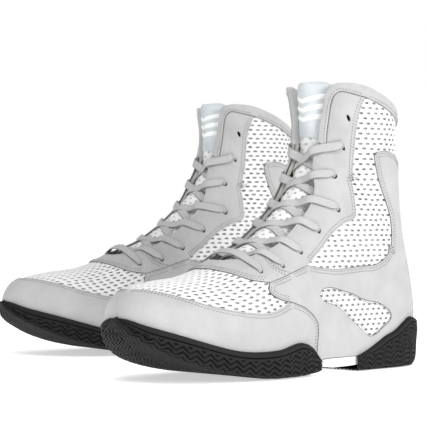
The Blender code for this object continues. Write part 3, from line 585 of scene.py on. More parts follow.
PALE_THREAD = cloth_material(
    "embroidery thread", grey(0.78), grey(0.92), 0.5, 0.2, 90, 2500, 0.0001, bands=[(900, "X")],
)
# Dark grey for the seam lines: partly the real cut edge and partly painted shadow at the panel edges.
CUT_EDGE_AND_SHADOW_LINE = cloth_material("cut edge line with painted seam shadow", grey(0.12), grey(0.20), 0.9, 0.0, 90, 900, 0.0001)
# Near-black painted shadow for the discs under the eyelets.
HOLE_SHADOW_PAINT = cloth_material("painted shadow inside the eyelets", grey(0.004), grey(0.008), 1.0, 0.0, 90, 900, 0.0001)


def lace_material_with_edge_shade():
    material, nodes, links, shader = new_material("lace weave with painted edge shade", grey(0.6), 0.85, 0.3)
    coords = nodes.new("ShaderNodeTexCoord").outputs["UV"]
    across = wave(nodes, links, coords, 0.45, "Y")
    along = wave(nodes, links, coords, 0.32, "DIAGONAL")
    weave = add_values(nodes, links, across, along, 0.5)
    # Painted shade: the lace's woven colour is mixed towards dark grey near its two long edges.
    split = nodes.new("ShaderNodeSeparateXYZ")
    links.new(coords, split.inputs["Vector"])
    away = nodes.new("ShaderNodeMath")
    away.operation = "ABSOLUTE"
    links.new(split.outputs["Y"], away.inputs[0])
    edge = nodes.new("ShaderNodeMapRange")
    for key, value in (("From Min", 2.5), ("From Max", 3.2), ("To Min", 0.0), ("To Max", 0.75)):
        edge.inputs[key].default_value = value
    links.new(away.outputs[0], edge.inputs["Value"])
    shade = nodes.new("ShaderNodeMix")
    shade.data_type = "RGBA"
    factor, colour_a, edge_shade_colour = (
        [socket for socket in shade.inputs if socket.enabled and socket.name == name][0]
        for name in ("Factor", "A", "B")
    )
    edge_shade_colour.default_value = (0.16, 0.16, 0.16, 1)
    links.new(edge.outputs["Result"], factor)
    links.new(ramp(nodes, links, weave, grey(0.44), grey(0.66), (0.2, 0.8)), colour_a)
    mixed = [socket for socket in shade.outputs if socket.enabled][0]
    links.new(mixed, shader.inputs["Base Color"])
    bump(nodes, links, shader, weave, 0.0005)
    return material


LACE_WITH_EDGE_SHADE = lace_material_with_edge_shade()


# ---------------------------------------------------------------- the upper

def along_curves():
    c = {}
    c["cap_top"], c["cap_rear"] = sample(TOE_CAP_TOP), sample(TOE_CAP_REAR)
    c["overlay_front"], c["throat_front"] = sample(OVERLAY_FRONT, 3), sample(THROAT_FRONT, 3)
    c["throat_inner"], c["tab_seam"] = sample(THROAT_INNER, 3), sample(TAB_SEAM, 3)
    c["top_front"], c["top_rear"] = sample(OVERLAY_TOP_FRONT), sample(OVERLAY_TOP_REAR)
    c["eyestay_front"], c["binding_end"] = sample(EYESTAY_FRONT, 3), sample(BINDING_END, 2)
    c["binding_inner"], c["binding_lower"] = sample(BINDING_INNER, 3), sample(BINDING_LOWER, 4)
    c["collar_top"], c["binding_front"] = sample(COLLAR_TOP, 4), sample(BINDING_FRONT, 3)
    c["eyestay_rear"], c["mesh_lower"] = sample(EYESTAY_REAR), sample(MESH_LOWER)
    c["window"] = sample(WINDOW + WINDOW[:1], 3)[:-1]
    return c


C = along_curves()


def straight(a, b, step=4.0):
    return sample([a, b], step)


def grown(outline, distance):
    """The outline moved outwards by a distance in millimetres, so that a sheet runs under its neighbours."""
    flat = outline * FLAT
    ahead, behind = np.roll(flat, -1, axis=0), np.roll(flat, 1, axis=0)
    along = unit(ahead - behind)
    area = np.sum(flat[:, 0] * ahead[:, 1] - ahead[:, 0] * flat[:, 1])
    out = np.stack([along[:, 1], -along[:, 0]], 1) * (1.0 if area > 0 else -1.0)
    places = (flat + out * distance) / FLAT
    places[:, 1] = np.clip(places[:, 1], -1.0, 1.0)
    return places


CELL_LONG, ROW_PITCH = 6.8, 3.8
HOLE_HALF_LONG, HOLE_HALF_SHORT = 2.1, 0.95
SHAFT_MIDDLE_X = 55.0


def on_row(k, run, row_s, row_v):
    """Places every cell length along a row, every other row shifted by half a cell."""
    at = np.arange((0.75 if k % 2 else 0.25) * CELL_LONG, run[-1], CELL_LONG)
    return list(zip(np.interp(at, run, row_s), np.interp(at, run, row_v)))


def ridge_lattice(s_low, s_high, v_high):
    """Staggered places in rows that run along the foot at equal distances from the ridge."""
    fine_s, fine_v = np.linspace(s_low, s_high, 240), np.linspace(0.0, v_high, 240)
    centres = []
    for hand in (1, -1):
        grid = on_last(fine_s[:, None], hand * fine_v[None])
        arc = np.zeros(grid.shape[:2])
        arc[:, 1:] = np.cumsum(np.linalg.norm(np.diff(grid, axis=1), axis=2), axis=1)
        for k in range(0 if hand > 0 else 1, int(arc.max() / ROW_PITCH)):
            known = arc[:, -1] > k * ROW_PITCH
            if known.sum() < 3:
                continue
            row_s = fine_s[known]
            row_v = hand * np.array([np.interp(k * ROW_PITCH, a, fine_v) for a in arc[known]])
            centres += on_row(k, lengths(on_last(row_s, row_v)), row_s, row_v)
    return np.array(centres)


def level_lattice(s_low, s_high, v_low, z_low, z_high):
    """Staggered places in level rows round the shaft, evenly spaced from the back seam."""
    fine_s, fine_v = np.meshgrid(
        np.linspace(s_low, s_high, 700), np.linspace(v_low, 0.999, 260), indexing="ij")
    fine_s, fine_v = fine_s.ravel(), fine_v.ravel()
    points = on_last(fine_s, fine_v)
    centres = []
    for k, z in enumerate(np.arange(z_low, z_high, ROW_PITCH)):
        near = np.nonzero(np.abs(points[:, 2] - z) < 0.35)[0]
        turn = np.arctan2(points[near, 1] + 4.0, points[near, 0] - SHAFT_MIDDLE_X)
        order = np.argsort(-turn)
        near, turn = near[order], turn[order]
        _, first = np.unique(np.round(-turn * 60), return_index=True)
        ring = points[near[first]]
        run = lengths(ring)
        at = np.arange((0.75 if k % 2 else 0.25) * CELL_LONG, run[-1], CELL_LONG)
        for spot in np.stack([np.interp(at, run, ring[:, axis]) for axis in range(3)], 1):
            best = near[np.argmin(np.sum((points[near] - spot) ** 2, axis=1))]
            centres.append((fine_s[best], fine_v[best]))
    return np.array(centres)


def side_lattice(s_low, s_high, v_low, v_high, z_low, z_high):
    """Staggered places in level rows, found along v for every s; for the low side window."""
    fine_s, fine_v = np.linspace(s_low, s_high, 200), np.linspace(v_high, v_low, 200)
    heights = on_last(fine_s[:, None], fine_v[None])[..., 2]
    centres = []
    for k, z in enumerate(np.arange(z_low, z_high, ROW_PITCH)):
        v = np.array([np.interp(z, heights[i], fine_v, left=-1, right=-1) for i in range(len(fine_s))])
        known = v > 0
        if known.sum() < 3:
            continue
        centres += on_row(k, lengths(on_last(fine_s[known], v[known])), fine_s[known], v[known])
    return np.array(centres)


def level_holes(centres, sides=8):
    """Outlines of small oval holes that lie level on the surface."""
    s, v = centres[:, 0], centres[:, 1]
    out = normal(s, v)
    level = unit(np.cross(out, np.array([0.0, 0.0, 1.0])))
    rising = np.cross(out, level)
    rings = []
    for k in range(sides):
        angle = 2 * math.pi * (k + 0.5) / sides
        goal = level * HOLE_HALF_LONG * math.cos(angle) + rising * HOLE_HALF_SHORT * math.sin(angle)
        ds, dv = on_surface(s, v, goal)
        rings.append(np.stack([s + ds, v + dv], 1))
    return np.stack(rings, 1)


def mesh_panel(name, outline, rings, nodes, spare=3.2):
    """An open mesh sheet with real holes, over a spacer sheet."""
    wide = grown(outline, spare)
    flat = wide * FLAT
    ok = []
    for ring in rings:
        own = ring * FLAT
        if not inside(own, flat).all():
            continue
        if np.min(np.sum((flat[:, None] - own[None]) ** 2, axis=2)) > 0.6 ** 2:
            ok.append(ring)
    shape = Shape()
    panel(shape, [wide], MESH_SHEET, ok, gap=0.0, step=4.5, roll=0.22)
    boots(name, shape, [MESH_KNIT, MESH_WALL_SHADE], nodes, smooth_deg=70)
    under = Shape()
    panel(under, [wide], MESH_BACK, (), gap=0.3, step=8, roll=0.1)
    boots(name + "_spacer", under, [SPACER, SPACER])


def suede_panel(name, outlines, nodes, holes=(), **options):
    shape = Shape()
    panel(shape, outlines, SUEDE, holes, **options)
    boots(name, shape, [SUEDE_SKIN, SUEDE_CUT_EDGE_AND_SHADE], nodes)


def upper():
    c = C
    cap_sole = straight((0.0, 1.0), (6.5, 1.0))
    tip = np.array([(0.0, 1.0), (0.0, 0.0), (0.0, -1.0)])
    cap = loop(tip, flipped(cap_sole), back(flipped(c["cap_rear"])), back(flipped(c["cap_top"])),
               c["cap_top"], c["cap_rear"], back(cap_sole))
    suede_panel("toe_cap", [cap], ["toe_cap"])

    vamp = loop(c["throat_front"], back(c["overlay_front"]), back(c["cap_top"]), flipped(c["cap_top"]),
                flipped(c["overlay_front"]), back(flipped(c["throat_front"])))
    vamp_holes = ring_holes(ridge_lattice(1.3, 6.3, 0.75), HOLE_HALF_LONG, HOLE_HALF_SHORT)
    mesh_panel("vamp_mesh", vamp, vamp_holes, ["vamp_mesh"])

    hole = ring_holes(EYELETS, 1.9, 1.9, 14)
    tab = loop(back(flipped(c["throat_inner"])), c["throat_inner"], c["tab_seam"], back(c["top_front"]),
               back(c["throat_front"]), flipped(c["throat_front"]), flipped(c["top_front"]),
               back(flipped(c["tab_seam"])))
    suede_panel("throat_tab", [tab], ["throat_tab"], [hole[0], flipped(hole[0])])

    eyestay = loop(c["eyestay_front"], c["binding_end"], c["binding_inner"], c["eyestay_rear"],
                   back(c["top_rear"]), back(c["tab_seam"]))
    facing = loop(c["eyestay_front"], back(c["binding_front"]),
                  back(sample([(16.15, 0.37), (15.75, 0.26), (15.3, 0.18)])),
                  sample([(16.15, 0.37)] + EYESTAY_REAR[1:]), back(c["top_rear"]), back(c["tab_seam"]))
    shaft = loop(c["eyestay_rear"], c["mesh_lower"], straight((15.1, 1.0), (16.55, 1.0)),
                 back(c["binding_lower"]))
    heel_edge = sample([(6.5, 1.0), (8.0, 1.0), (9.5, 1.0), (10.4, 1.0), (11.0, 1.0)], 3)
    overlay = loop(c["overlay_front"], c["top_front"], c["top_rear"], c["mesh_lower"],
                   straight((15.1, 1.0), (11.0, 1.0)), back(heel_edge), back(c["cap_rear"]))
    quarter_front = [
        (6.3, 0.55), (7.3, 0.555), (8.6, 0.55), (9.8, 0.54), (10.6, 0.42), (11.2, 0.36), (13.0, 0.37),
        (15.6, 0.40),
    ]
    quarter_top = [(15.6, 0.40), (16.1, 0.47), (16.3, 0.60), (16.4, 0.80), (16.5, 1.0)]
    quarter_floor = [(11.4, 1.0), (11.0, 0.955), (10.0, 0.93), (8.5, 0.91), (6.3, 0.89)]
    quarter = loop(sample(quarter_front, 6), sample(quarter_top, 6), straight((16.5, 1.0), (11.4, 1.0), 6),
                   sample(quarter_floor, 6), straight((6.3, 0.89), (6.3, 0.55), 6))
    shaft_cells = level_holes(level_lattice(7.0, 16.9, 0.25, 55.0, 218.0))
    window_cells = level_holes(side_lattice(6.9, 10.2, 0.60, 0.96, 15.0, 75.0))
    for twin, turn in (("lateral", lambda a: a), ("medial", flipped)):
        suede_panel("eyestay_" + twin, [turn(eyestay)], ["eyestay_" + twin], [turn(h) for h in hole[1:]])
        shape = Shape()
        panel(shape, [turn(facing)], FACING, [turn(h) for h in hole[1:]], step=6, roll=0.3)
        boots("eyestay_facing_" + twin, shape, [KNIT, KNIT], ["eyestay_facing_" + twin])
        suede_panel("side_overlay_" + twin, [turn(overlay)], ["side_overlay_" + twin], [turn(c["window"])])
        mesh_panel("shaft_mesh_" + twin, turn(shaft), [turn(r) for r in shaft_cells], ["shaft_mesh_" + twin])
        mesh_panel("side_window_" + twin, turn(c["window"]), [turn(r) for r in window_cells],
                   ["side_window_" + twin], WINDOW_SPARE)
        shape = Shape()
        panel(shape, [turn(quarter)], LINING, step=8, roll=0.3)
        boots("quarter_lining_" + twin, shape, [KNIT, KNIT], ["quarter_lining_" + twin])

    half = loop(c["binding_end"], c["binding_inner"], c["binding_lower"],
                straight((16.55, 1.0), (16.75, 1.0)), c["collar_top"], c["binding_front"])
    shape = Shape()
    panel(shape, [half, flipped(half)], BINDING, step=4, roll=1.1, gap=0.0, both_rolled=True, kinds=(0, 0))
    boots("collar_binding", shape, [TAPE], ["collar_binding"])

    # Painted shadow: a near-black disc under every eyelet, below the suede, so that the holes look dark
    # inside.
    shadow_discs = Shape()
    for s, v in list(map(tuple, EYELETS)) + list(map(tuple, flipped(EYELETS))):
        ring = ring_holes([(s, v)], 2.2, 2.2, 12)[0]
        top, low = lifted(ring[:, 0], ring[:, 1], -1.3), lifted(ring[:, 0], ring[:, 1], -1.5)
        faces = [tuple(range(12)), tuple(range(23, 11, -1))]
        faces += [((k + 1) % 12, k, k + 12, (k + 1) % 12 + 12) for k in range(12)]
        if v > 0:
            faces = [f[::-1] for f in faces]
        shadow_discs.add(np.vstack([top, low]), faces)
    boots("eyelet_painted_shadows", shadow_discs, [HOLE_SHADOW_PAINT])
    return {"cap": cap, "tab": tab, "eyestay": eyestay, "overlay": overlay, "binding": half}


# ---------------------------------------------------------------- stitching

def moved_inwards(places, distance, side):
    """Moves each place of an edge curve sideways on the last by a distance in millimetres."""
    s, v = places[:, 0], places[:, 1]
    along = unit(np.gradient(on_last(s, v), axis=0))
    ds, dv = on_surface(s, v, np.cross(normal(s, v), along) * distance * side)
    return np.stack([s + ds, v + dv], 1)


def stitch_row(shape, curve, offset, outline, height, pitch=2.4, long=1.25, thick=0.25, trim=2.0):
    """A row of stitches along an edge curve, inside an outline; each stitch is a small rounded bar."""
    fine = moved_inwards(sample(curve, 1.0), offset, 1)
    if offset > 0 and inside(fine * FLAT, outline * FLAT).mean() < 0.5:
        fine = moved_inwards(sample(curve, 1.0), offset, -1)
    points = lifted(fine[:, 0], fine[:, 1], np.full(len(fine), height))
    out = normal(fine[:, 0], fine[:, 1])
    run = lengths(points)
    count = int((run[-1] - 2 * trim) / pitch)
    if count < 1:
        return
    at = trim + pitch * (np.arange(count) + 0.5)
    middle = np.stack([np.interp(at, run, points[:, k]) for k in range(3)], 1)
    up = unit(np.stack([np.interp(at, run, out[:, k]) for k in range(3)], 1))
    ahead = np.stack([np.interp(at + 0.5, run, points[:, k]) for k in range(3)], 1)
    along = unit(ahead - middle)
    sideways = np.cross(up, along)
    rings = [(-0.5, 0.25, -0.5), (-0.32, 1.0, 0.5), (0.32, 1.0, 0.5), (0.5, 0.25, -0.5)]
    corners = [(-1, 0), (-0.6, 0.8), (0.6, 0.8), (1, 0), (0.6, -0.8), (-0.6, -0.8)]
    points = []
    for where, width, lift in rings:
        for cx, cz in corners:
            points.append(middle + along * long * where + sideways * thick * width * cx
                          + up * thick * (width * cz + lift))
    points = np.stack(points, 1)
    faces = [(5, 4, 3, 2, 1, 0), (18, 19, 20, 21, 22, 23)]
    for r in range(3):
        faces += [(r * 6 + k, r * 6 + (k + 1) % 6, r * 6 + 6 + (k + 1) % 6, r * 6 + 6 + k) for k in range(6)]
    size = len(rings) * len(corners)
    shape.add(points.reshape(-1, 3), [tuple(size * i + k for k in f) for i in range(count) for f in faces])


def cut_edge_and_shadow_line(shape, curve, height, radius=0.22):
    """The dark cut edge along a seam, partly real and partly painted seam shadow: a thin dark tube."""
    fine = sample(curve, 2.0)
    line = lifted(fine[:, 0], fine[:, 1], np.full(len(fine), height))
    up = normal(fine[:, 0], fine[:, 1])
    sideways = np.cross(unit(np.gradient(line, axis=0)), up)
    turn = 2 * math.pi * np.arange(6) / 6
    rings = line[:, None] + radius * (up[:, None] * np.sin(turn)[None, :, None]
                                      + sideways[:, None] * np.cos(turn)[None, :, None])
    n = len(line)
    faces = [(6 * i + k, 6 * i + 6 + k, 6 * i + 6 + (k + 1) % 6, 6 * i + (k + 1) % 6)
             for i in range(n - 1) for k in range(6)]
    faces += [tuple(range(6)), tuple(6 * (n - 1) + k for k in range(5, -1, -1))]
    shape.add(rings.reshape(-1, 3), faces)


WINDOW_STITCH = -1.6


STITCH_OFFSETS, BINDING_STITCH = (1.5, 3.7), 1.9


def stitching(outlines):
    shape, edge_and_shadow_lines = Shape(), Shape()
    rows = [
        (TOE_CAP_TOP, "cap"), (TOE_CAP_REAR, "cap"), (EYESTAY_REAR, "eyestay"), (THROAT_FRONT, "tab"),
        (MESH_LOWER, "overlay"), (TAB_SEAM, "tab"), (OVERLAY_FRONT, "overlay"),
        (OVERLAY_TOP_FRONT, "overlay"), (OVERLAY_TOP_REAR, "overlay"),
    ]
    for turn in (1, -1):
        def mirror(curve):
            return [(s, v * turn) for s, v in curve]
        for curve, outline in rows:
            own = outlines[outline] * [1, turn]
            for offset in STITCH_OFFSETS:
                stitch_row(shape, mirror(curve), offset, own, SUEDE[0])
        overlay = outlines["overlay"] * [1, turn]
        stitch_row(shape, mirror(WINDOW + WINDOW[:1]), WINDOW_STITCH * turn, overlay, SUEDE[0])
        for curve in (BINDING_INNER, BINDING_LOWER):
            stitch_row(shape, mirror(curve), BINDING_STITCH, outlines["binding"] * [1, turn], BINDING[0])
        # Thin dark tubes along seams: partly the real dark cut edge and partly painted shadow where one
        # panel's edge meets the next.
        for curve, height in (
            (BINDING_INNER, 0.55), (BINDING_LOWER, 0.3), (MESH_LOWER, -0.2), (THROAT_FRONT, -0.2),
            (OVERLAY_FRONT, 0.2), (TOE_CAP_REAR, 0.3), (WINDOW + WINDOW[:1], -0.2),
        ):
            cut_edge_and_shadow_line(edge_and_shadow_lines, mirror(curve), height)
    boots("stitching", shape, [THREAD])
    boots("cut_edges_and_seam_shadows", edge_and_shadow_lines, [CUT_EDGE_AND_SHADOW_LINE])


# ---------------------------------------------------------------- tongue, lace, sole

def tongue_grid(start, end, count, columns, raised=0.0):
    s = np.linspace(start, end, count)[:, None]
    edge = height_at(TONGUE_EDGE, s)
    near_top = np.clip((s - (TONGUE_TOP_S - 0.9)) / 0.9, 0, 1)
    upper_part = np.clip((s - 10.2) / 1.6, 0, 1)
    edge = edge * (1.0 + 0.22 * upper_part) * (1.0 - 0.5 * (1.0 - np.sqrt(1.0 - near_top ** 2)))
    q = np.linspace(1, -1, columns)[None]
    v = edge * q
    edge_depth = -TONGUE_DEPTH + 0.2 * upper_part
    middle_depth = -5.2 + 6.0 * upper_part + 2.6 * np.clip((s - 12.0) / 1.2, 0, 1)
    bulge = (1 - q ** 2) ** (2.5 + 3.5 * upper_part)
    height = edge_depth + (middle_depth - edge_depth) * bulge + raised * (1 - q ** 6)
    out = normal(s + 0 * v, v)
    front = on_last(s + 0 * v, v) + out * height[..., None]
    thick = 3.2 * (1.0 - 0.5 * q ** 2) + 3.0 * bulge * upper_part
    return front, front - out * thick[..., None], s


def tongue():
    """A padded tongue with rolled edges; its lower part is mesh, its top a satin patch on the same pad."""
    pieces = {}
    for name, start, end, count, material, slot, nodes in (
        ("tongue_pad", 5.5, TONGUE_SPLIT_S, 70, MESH_KNIT, "mesh", ["tongue"]),
        ("tongue_patch", TONGUE_SPLIT_S - 0.12, TONGUE_TOP_S, 50, SATIN, "satin", ["tongue_top"]),
    ):
        raised = PATCH_RAISED if name == "tongue_patch" else 0.0
        front, rear, s = tongue_grid(start, end, count, TONGUE_COLUMNS, raised)
        shape = Shape()
        if name == "tongue_patch":
            rounded = np.clip((s - (TONGUE_TOP_S - 0.35)) / 0.35, 0, 1) ** 2 * 1.2
            out = normal(s, 0.0 * s)
            front = front - out * rounded[..., None]
            rear = rear + out * rounded[..., None] * 0.6
        closed_grid(shape, front, rear)
        pieces[name] = boots(name, shape, [material], nodes, body=None, smooth_deg=60)
    hole_shape = Shape()
    front = tongue_grid(5.6, TONGUE_SPLIT_S - 0.15, 200, TONGUE_COLUMNS)[0]
    half_way = TONGUE_COLUMNS // 2
    run = lengths(front[:, half_way])
    for k, at in enumerate(np.arange(2.0, run[-1] - 1.0, ROW_PITCH)):
        i = int(np.searchsorted(run, at))
        across = lengths(front[i])
        start = (0.5 if k % 2 else 0.0) * CELL_LONG
        middle = across[half_way]
        for x in np.arange(-5, 6) * CELL_LONG + start + middle:
            if not 3.5 < x < across[-1] - 3.5:
                continue
            centre = np.array([np.interp(x, across, front[i, :, a]) for a in range(3)])
            side_way = unit(front[i, -1] - front[i, 0])
            upwards = front[min(i + 1, len(front) - 1), half_way] - front[i - 1, half_way]
            up = unit(np.cross(side_way, upwards))
            up = up if up[0] + up[2] > 0 else -up
            forward = np.cross(up, side_way)
            angle = 2 * math.pi * np.arange(10) / 10
            ring = (centre + side_way * HOLE_HALF_LONG * np.cos(angle)[:, None]
                    + forward * HOLE_HALF_SHORT * np.sin(angle)[:, None])
            top, low = ring + up * 0.10, ring - up * 0.4
            faces = [tuple(range(9, -1, -1)), tuple(range(10, 20))]
            faces += [(j, (j + 1) % 10, (j + 1) % 10 + 10, j + 10) for j in range(10)]
            flip = np.dot(np.cross(ring[1] - ring[0], ring[2] - ring[1]), up) > 0
            faces = [f[::-1] for f in faces] if flip else faces
            hole_shape.add(np.vstack([top, low]), faces)
    pieces["tongue_mesh_holes"] = boots("tongue_mesh_holes", hole_shape, [SPACER], body=None)
    pieces["tongue_mark"] = emblem()
    hinge = lifted(np.array(TONGUE_SPLIT_S), np.array(0.0), np.array(-TONGUE_DEPTH - 2.0)).reshape(1, 3)
    for name, pair in pieces.items():
        for piece, side in zip(pair, (1, -1)):
            low, high = (Vector(place(hinge + np.array([[0, 0, dz]]), side)[0]) for dz in (-7.0, 7.0))
            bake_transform(piece)


# The chevrons on the tongue patch: the heights of their feet up the patch, and their half width
CHEVRON_FEET, CHEVRON_HALF_WIDE = (0.60, 0.42, 0.24), 0.46


def emblem():
    """A generic mark of three stacked chevrons, embroidered on the satin patch."""
    front = tongue_grid(TONGUE_SPLIT_S, TONGUE_TOP_S, 60, TONGUE_COLUMNS, PATCH_RAISED)[0]
    last_row, last_column = front.shape[0] - 1, front.shape[1] - 1
    shape = Shape()

    def on_patch(u, w):
        """u from -1 to 1 across and w from 0 to 1 up the patch."""
        i, j = w * last_row, (u + 1) * last_column / 2
        i0 = np.clip(np.floor(i).astype(int), 0, last_row - 1)
        j0 = np.clip(np.floor(j).astype(int), 0, last_column - 1)
        a, b = (i - i0)[..., None], (j - j0)[..., None]
        return (front[i0, j0] * (1 - a) * (1 - b) + front[i0 + 1, j0] * a * (1 - b)
                + front[i0, j0 + 1] * (1 - a) * b + front[i0 + 1, j0 + 1] * a * b)

    out = normal(np.array(13.5), np.array(0.0))
    for base in CHEVRON_FEET:
        for hand in (-1, 1):
            t = np.linspace(0, 1, 14)[:, None]
            k = np.linspace(-1, 1, 7)[None]
            u = hand * CHEVRON_HALF_WIDE * t + 0 * k
            w = base + 0.15 * t + k * 0.045
            top = on_patch(u, w) + out * (0.15 + 0.55 * (1 - k ** 2))[..., None]
            low = on_patch(u, w) - out * 0.3
            if hand > 0:
                top, low = top[::-1], low[::-1]
            closed_grid(shape, top, low)
    return boots("tongue_mark", shape, [PALE_THREAD], body=None, smooth_deg=60)


def throat_edge(s):
    return float(height_at(THROAT_INNER[2:] + EYESTAY_FRONT[1:] + BINDING_FRONT[::-1][1:], s))


def tongue_height(s, v):
    """How far the tongue's front lies over the last, below zero, at a place in the throat."""
    front = tongue_grid(s, s, 1, TONGUE_COLUMNS)[0]
    gaps = front[0] - on_last(s, v)
    n = normal(s, v)
    beside = np.linalg.norm(gaps - (gaps @ n)[:, None] * n, axis=1)
    return float((gaps @ n)[np.argmin(beside)])


def edge_crossing(start, end, hand, share, height):
    """Where a straight run between two eyelets crosses a throat edge, given its share of the way."""
    low, high = on_last(np.array(start[0]), np.array(0.0)), on_last(np.array(end[0]), np.array(0.0))
    rise = unit(high - low)
    a, b = on_last(np.array(start[0]), np.array(start[1])), on_last(np.array(end[0]), np.array(end[1]))
    goal = a @ rise + (b - a) @ rise * share
    s = np.linspace(max(start[0] - 2.5, 5.5), end[0] + 0.5, 160)
    edges = np.array([throat_edge(x) for x in s])
    levels = lifted(s, hand * edges, np.full(160, height)) @ rise
    return float(s[np.argmin(np.abs(levels - goal))])


def straight_run(side, start, end, lift):
    """The s of the two places where a run from one eyelet to the opposite one crosses the throat's edges."""
    edge = throat_edge(start[0])
    whole = start[1] + end[1]
    leave = edge_crossing(start, end, side, (start[1] - edge) / whole, -5.0)
    edge = throat_edge(end[0])
    arrive = edge_crossing(start, end, -side, (start[1] + edge) / whole, lift)
    return leave, arrive


def lace_half(side, top_side):
    """Spots of one half of the lace as (point, up, width share), from the middle of the bottom bar."""
    over, under = 1.3, -5.6
    spots = []

    def at(s, v, height, width):
        s, v = np.array(float(s)), np.array(float(v))
        spots.append((lifted(s, v, np.array(height)), normal(s, v), width))

    s, v = EYELETS[0]
    at(s, side * 0.12, over + 0.4, 1.0)
    at(s, side * (v - 0.08), over, 1.0)
    for (s, v), following in zip(EYELETS[:LACED_PAIRS], EYELETS[1:LACED_PAIRS] + [None]):
        at(s, side * (v - 0.016), 0.9, 0.62)
        at(s, side * v, -1.6, 0.45)
        at(s, side * (v - 0.004), -5.0, 0.5)
        if following is None:
            at(s + 0.4, side * (v - 0.02), under, 0.8)
            at(s + 1.5, side * (v - 0.02), under, 0.9)
            break
        lift = over + (0.9 if following[0] > BINDING_END[0][0] else 0.0)
        leave, arrive = straight_run(side, (s, v), following, lift)
        edge_a, edge_b = throat_edge(leave), throat_edge(arrive)
        at(s + (leave - s) * 0.5, side * (v + edge_a) / 2, under, 0.9)
        at(leave, side * edge_a, -5.2, 1.0)
        p, q = spots[-1][0], lifted(np.array(arrive), np.array(-side * edge_b), np.array(lift))
        above = 1.5 if -side == top_side else 0.75
        for t in (0.3, 0.5, 0.7):
            ts, tv = leave + (arrive - leave) * t, side * (edge_a + (-edge_b - edge_a) * t)
            ts, tv = np.array(float(ts)), np.array(float(tv))
            ds, dv = on_surface(ts, tv, p + (q - p) * t - on_last(ts, tv))
            ts, tv = ts + ds, tv + dv
            ground, n = on_last(ts, tv), normal(ts, tv)
            chord = float((p + (q - p) * t - ground) @ n)
            spots.append((ground + n * max(chord, tongue_height(ts, tv) + above), n, 1.0))
        at(arrive, -side * edge_b, lift, 1.0)
        end_s, end_v = following
        at(arrive + (end_s - arrive) * 0.7, -side * (edge_b + (end_v - edge_b) * 0.7), lift, 1.0)
        side = -side
    return spots


LACE_HALF_WIDE, LACE_HALF_THICK, LACE_SIDES = 3.5, 0.62, 24


def lace(side):
    """One flat lace for one boot, from one tucked end through seven pairs of holes to the other."""
    foot, ridge = np.array(EYELETS[0][0]), np.array(0.0)
    bar = (lifted(foot, ridge, np.array(2.0)), normal(foot, ridge), 1.0)
    path = lace_half(-1, side)[::-1] + [bar] + lace_half(1, side)
    spots, ups, widths = (np.array([item[k] for item in path]) for k in range(3))
    count = (len(spots) - 1) * 14 + 1
    at = np.linspace(0, len(spots) - 1, count)
    line, up, width = spline(spots, at), spline(ups, at), spline(widths[:, None], at)[:, 0]
    along = unit(np.gradient(line, axis=0))
    up = unit(up - along * np.sum(up * along, axis=1)[:, None])
    for _ in range(3):
        up[1:-1] = unit(up[:-2] + 2 * up[1:-1] + up[2:])
        up = unit(up - along * np.sum(up * along, axis=1)[:, None])
    sideways = np.cross(along, up)
    half_wide, half_thick = LACE_HALF_WIDE * width, LACE_HALF_THICK + 0.5 * (1 - width)
    turn = 2 * math.pi * np.arange(LACE_SIDES) / LACE_SIDES
    across = np.sign(np.cos(turn)) * np.abs(np.cos(turn)) ** 0.6
    lift = np.sign(np.sin(turn)) * np.abs(np.sin(turn)) ** 0.8 * (1 + 0.16 * np.cos(9 * across * math.pi))
    rings = (line[:, None] + sideways[:, None] * (half_wide[:, None] * across)[..., None]
             + up[:, None] * (half_thick[:, None] * lift)[..., None])
    run = lengths(line)
    uv = np.stack([np.repeat(run[:, None], LACE_SIDES, 1), np.repeat((across * 3.3)[None], count, 0)], -1)
    faces = []
    for i in range(count - 1):
        a, b = i * LACE_SIDES, (i + 1) * LACE_SIDES
        for k in range(LACE_SIDES):
            following = (k + 1) % LACE_SIDES
            faces.append((a + k, a + following, b + following, b + k))
    faces = [f[::-1] for f in faces]
    last = (count - 1) * LACE_SIDES
    faces += [tuple(range(LACE_SIDES)), tuple(last + k for k in range(LACE_SIDES - 1, -1, -1))]
    shape = Shape()
    shape.add(rings.reshape(-1, 3), faces, 0, uv.reshape(-1, 2))
    boots("lace", shape, [LACE_WITH_EDGE_SHADE], ["lace"], smooth_deg=70, sides=(side,))


def sole_down(s):
    ahead, behind = rows_at(np.maximum(s - 0.05, 0.0)), rows_at(s + 0.05)
    along = unit(np.stack([ahead[..., 0] - behind[..., 0], 0 * s, ahead[..., 1] - behind[..., 1]], -1))
    down = np.stack([along[..., 2], 0 * s, -along[..., 0]], -1)
    return np.where((s < 0.1)[..., None], np.array([1.0, 0.0, 0.0]), down)


def sole_point(s, across, depth, spread=0.0):
    row = rows_at(s)
    p = np.stack([row[..., 0], row[..., 7] + across * (row[..., 5] + spread), row[..., 1]], -1)
    p = p + sole_down(s) * np.broadcast_to(depth, s.shape)[..., None]
    p[..., 2] = np.maximum(p[..., 2], 0.0)
    return p


def zigzag_depth(along, down, pitch=5.4, row=3.9, groove=0.22, depth=0.9):
    """Herringbone grooves: how far the rubber is cut back at a place."""
    zig = np.abs(((along / pitch) % 2.0) - 1.0)
    phase = ((down + zig * row * 0.95) / row) % 1.0
    wall = np.clip((groove - np.abs(phase - 0.5)) / 0.10, 0, 1)
    return depth * wall


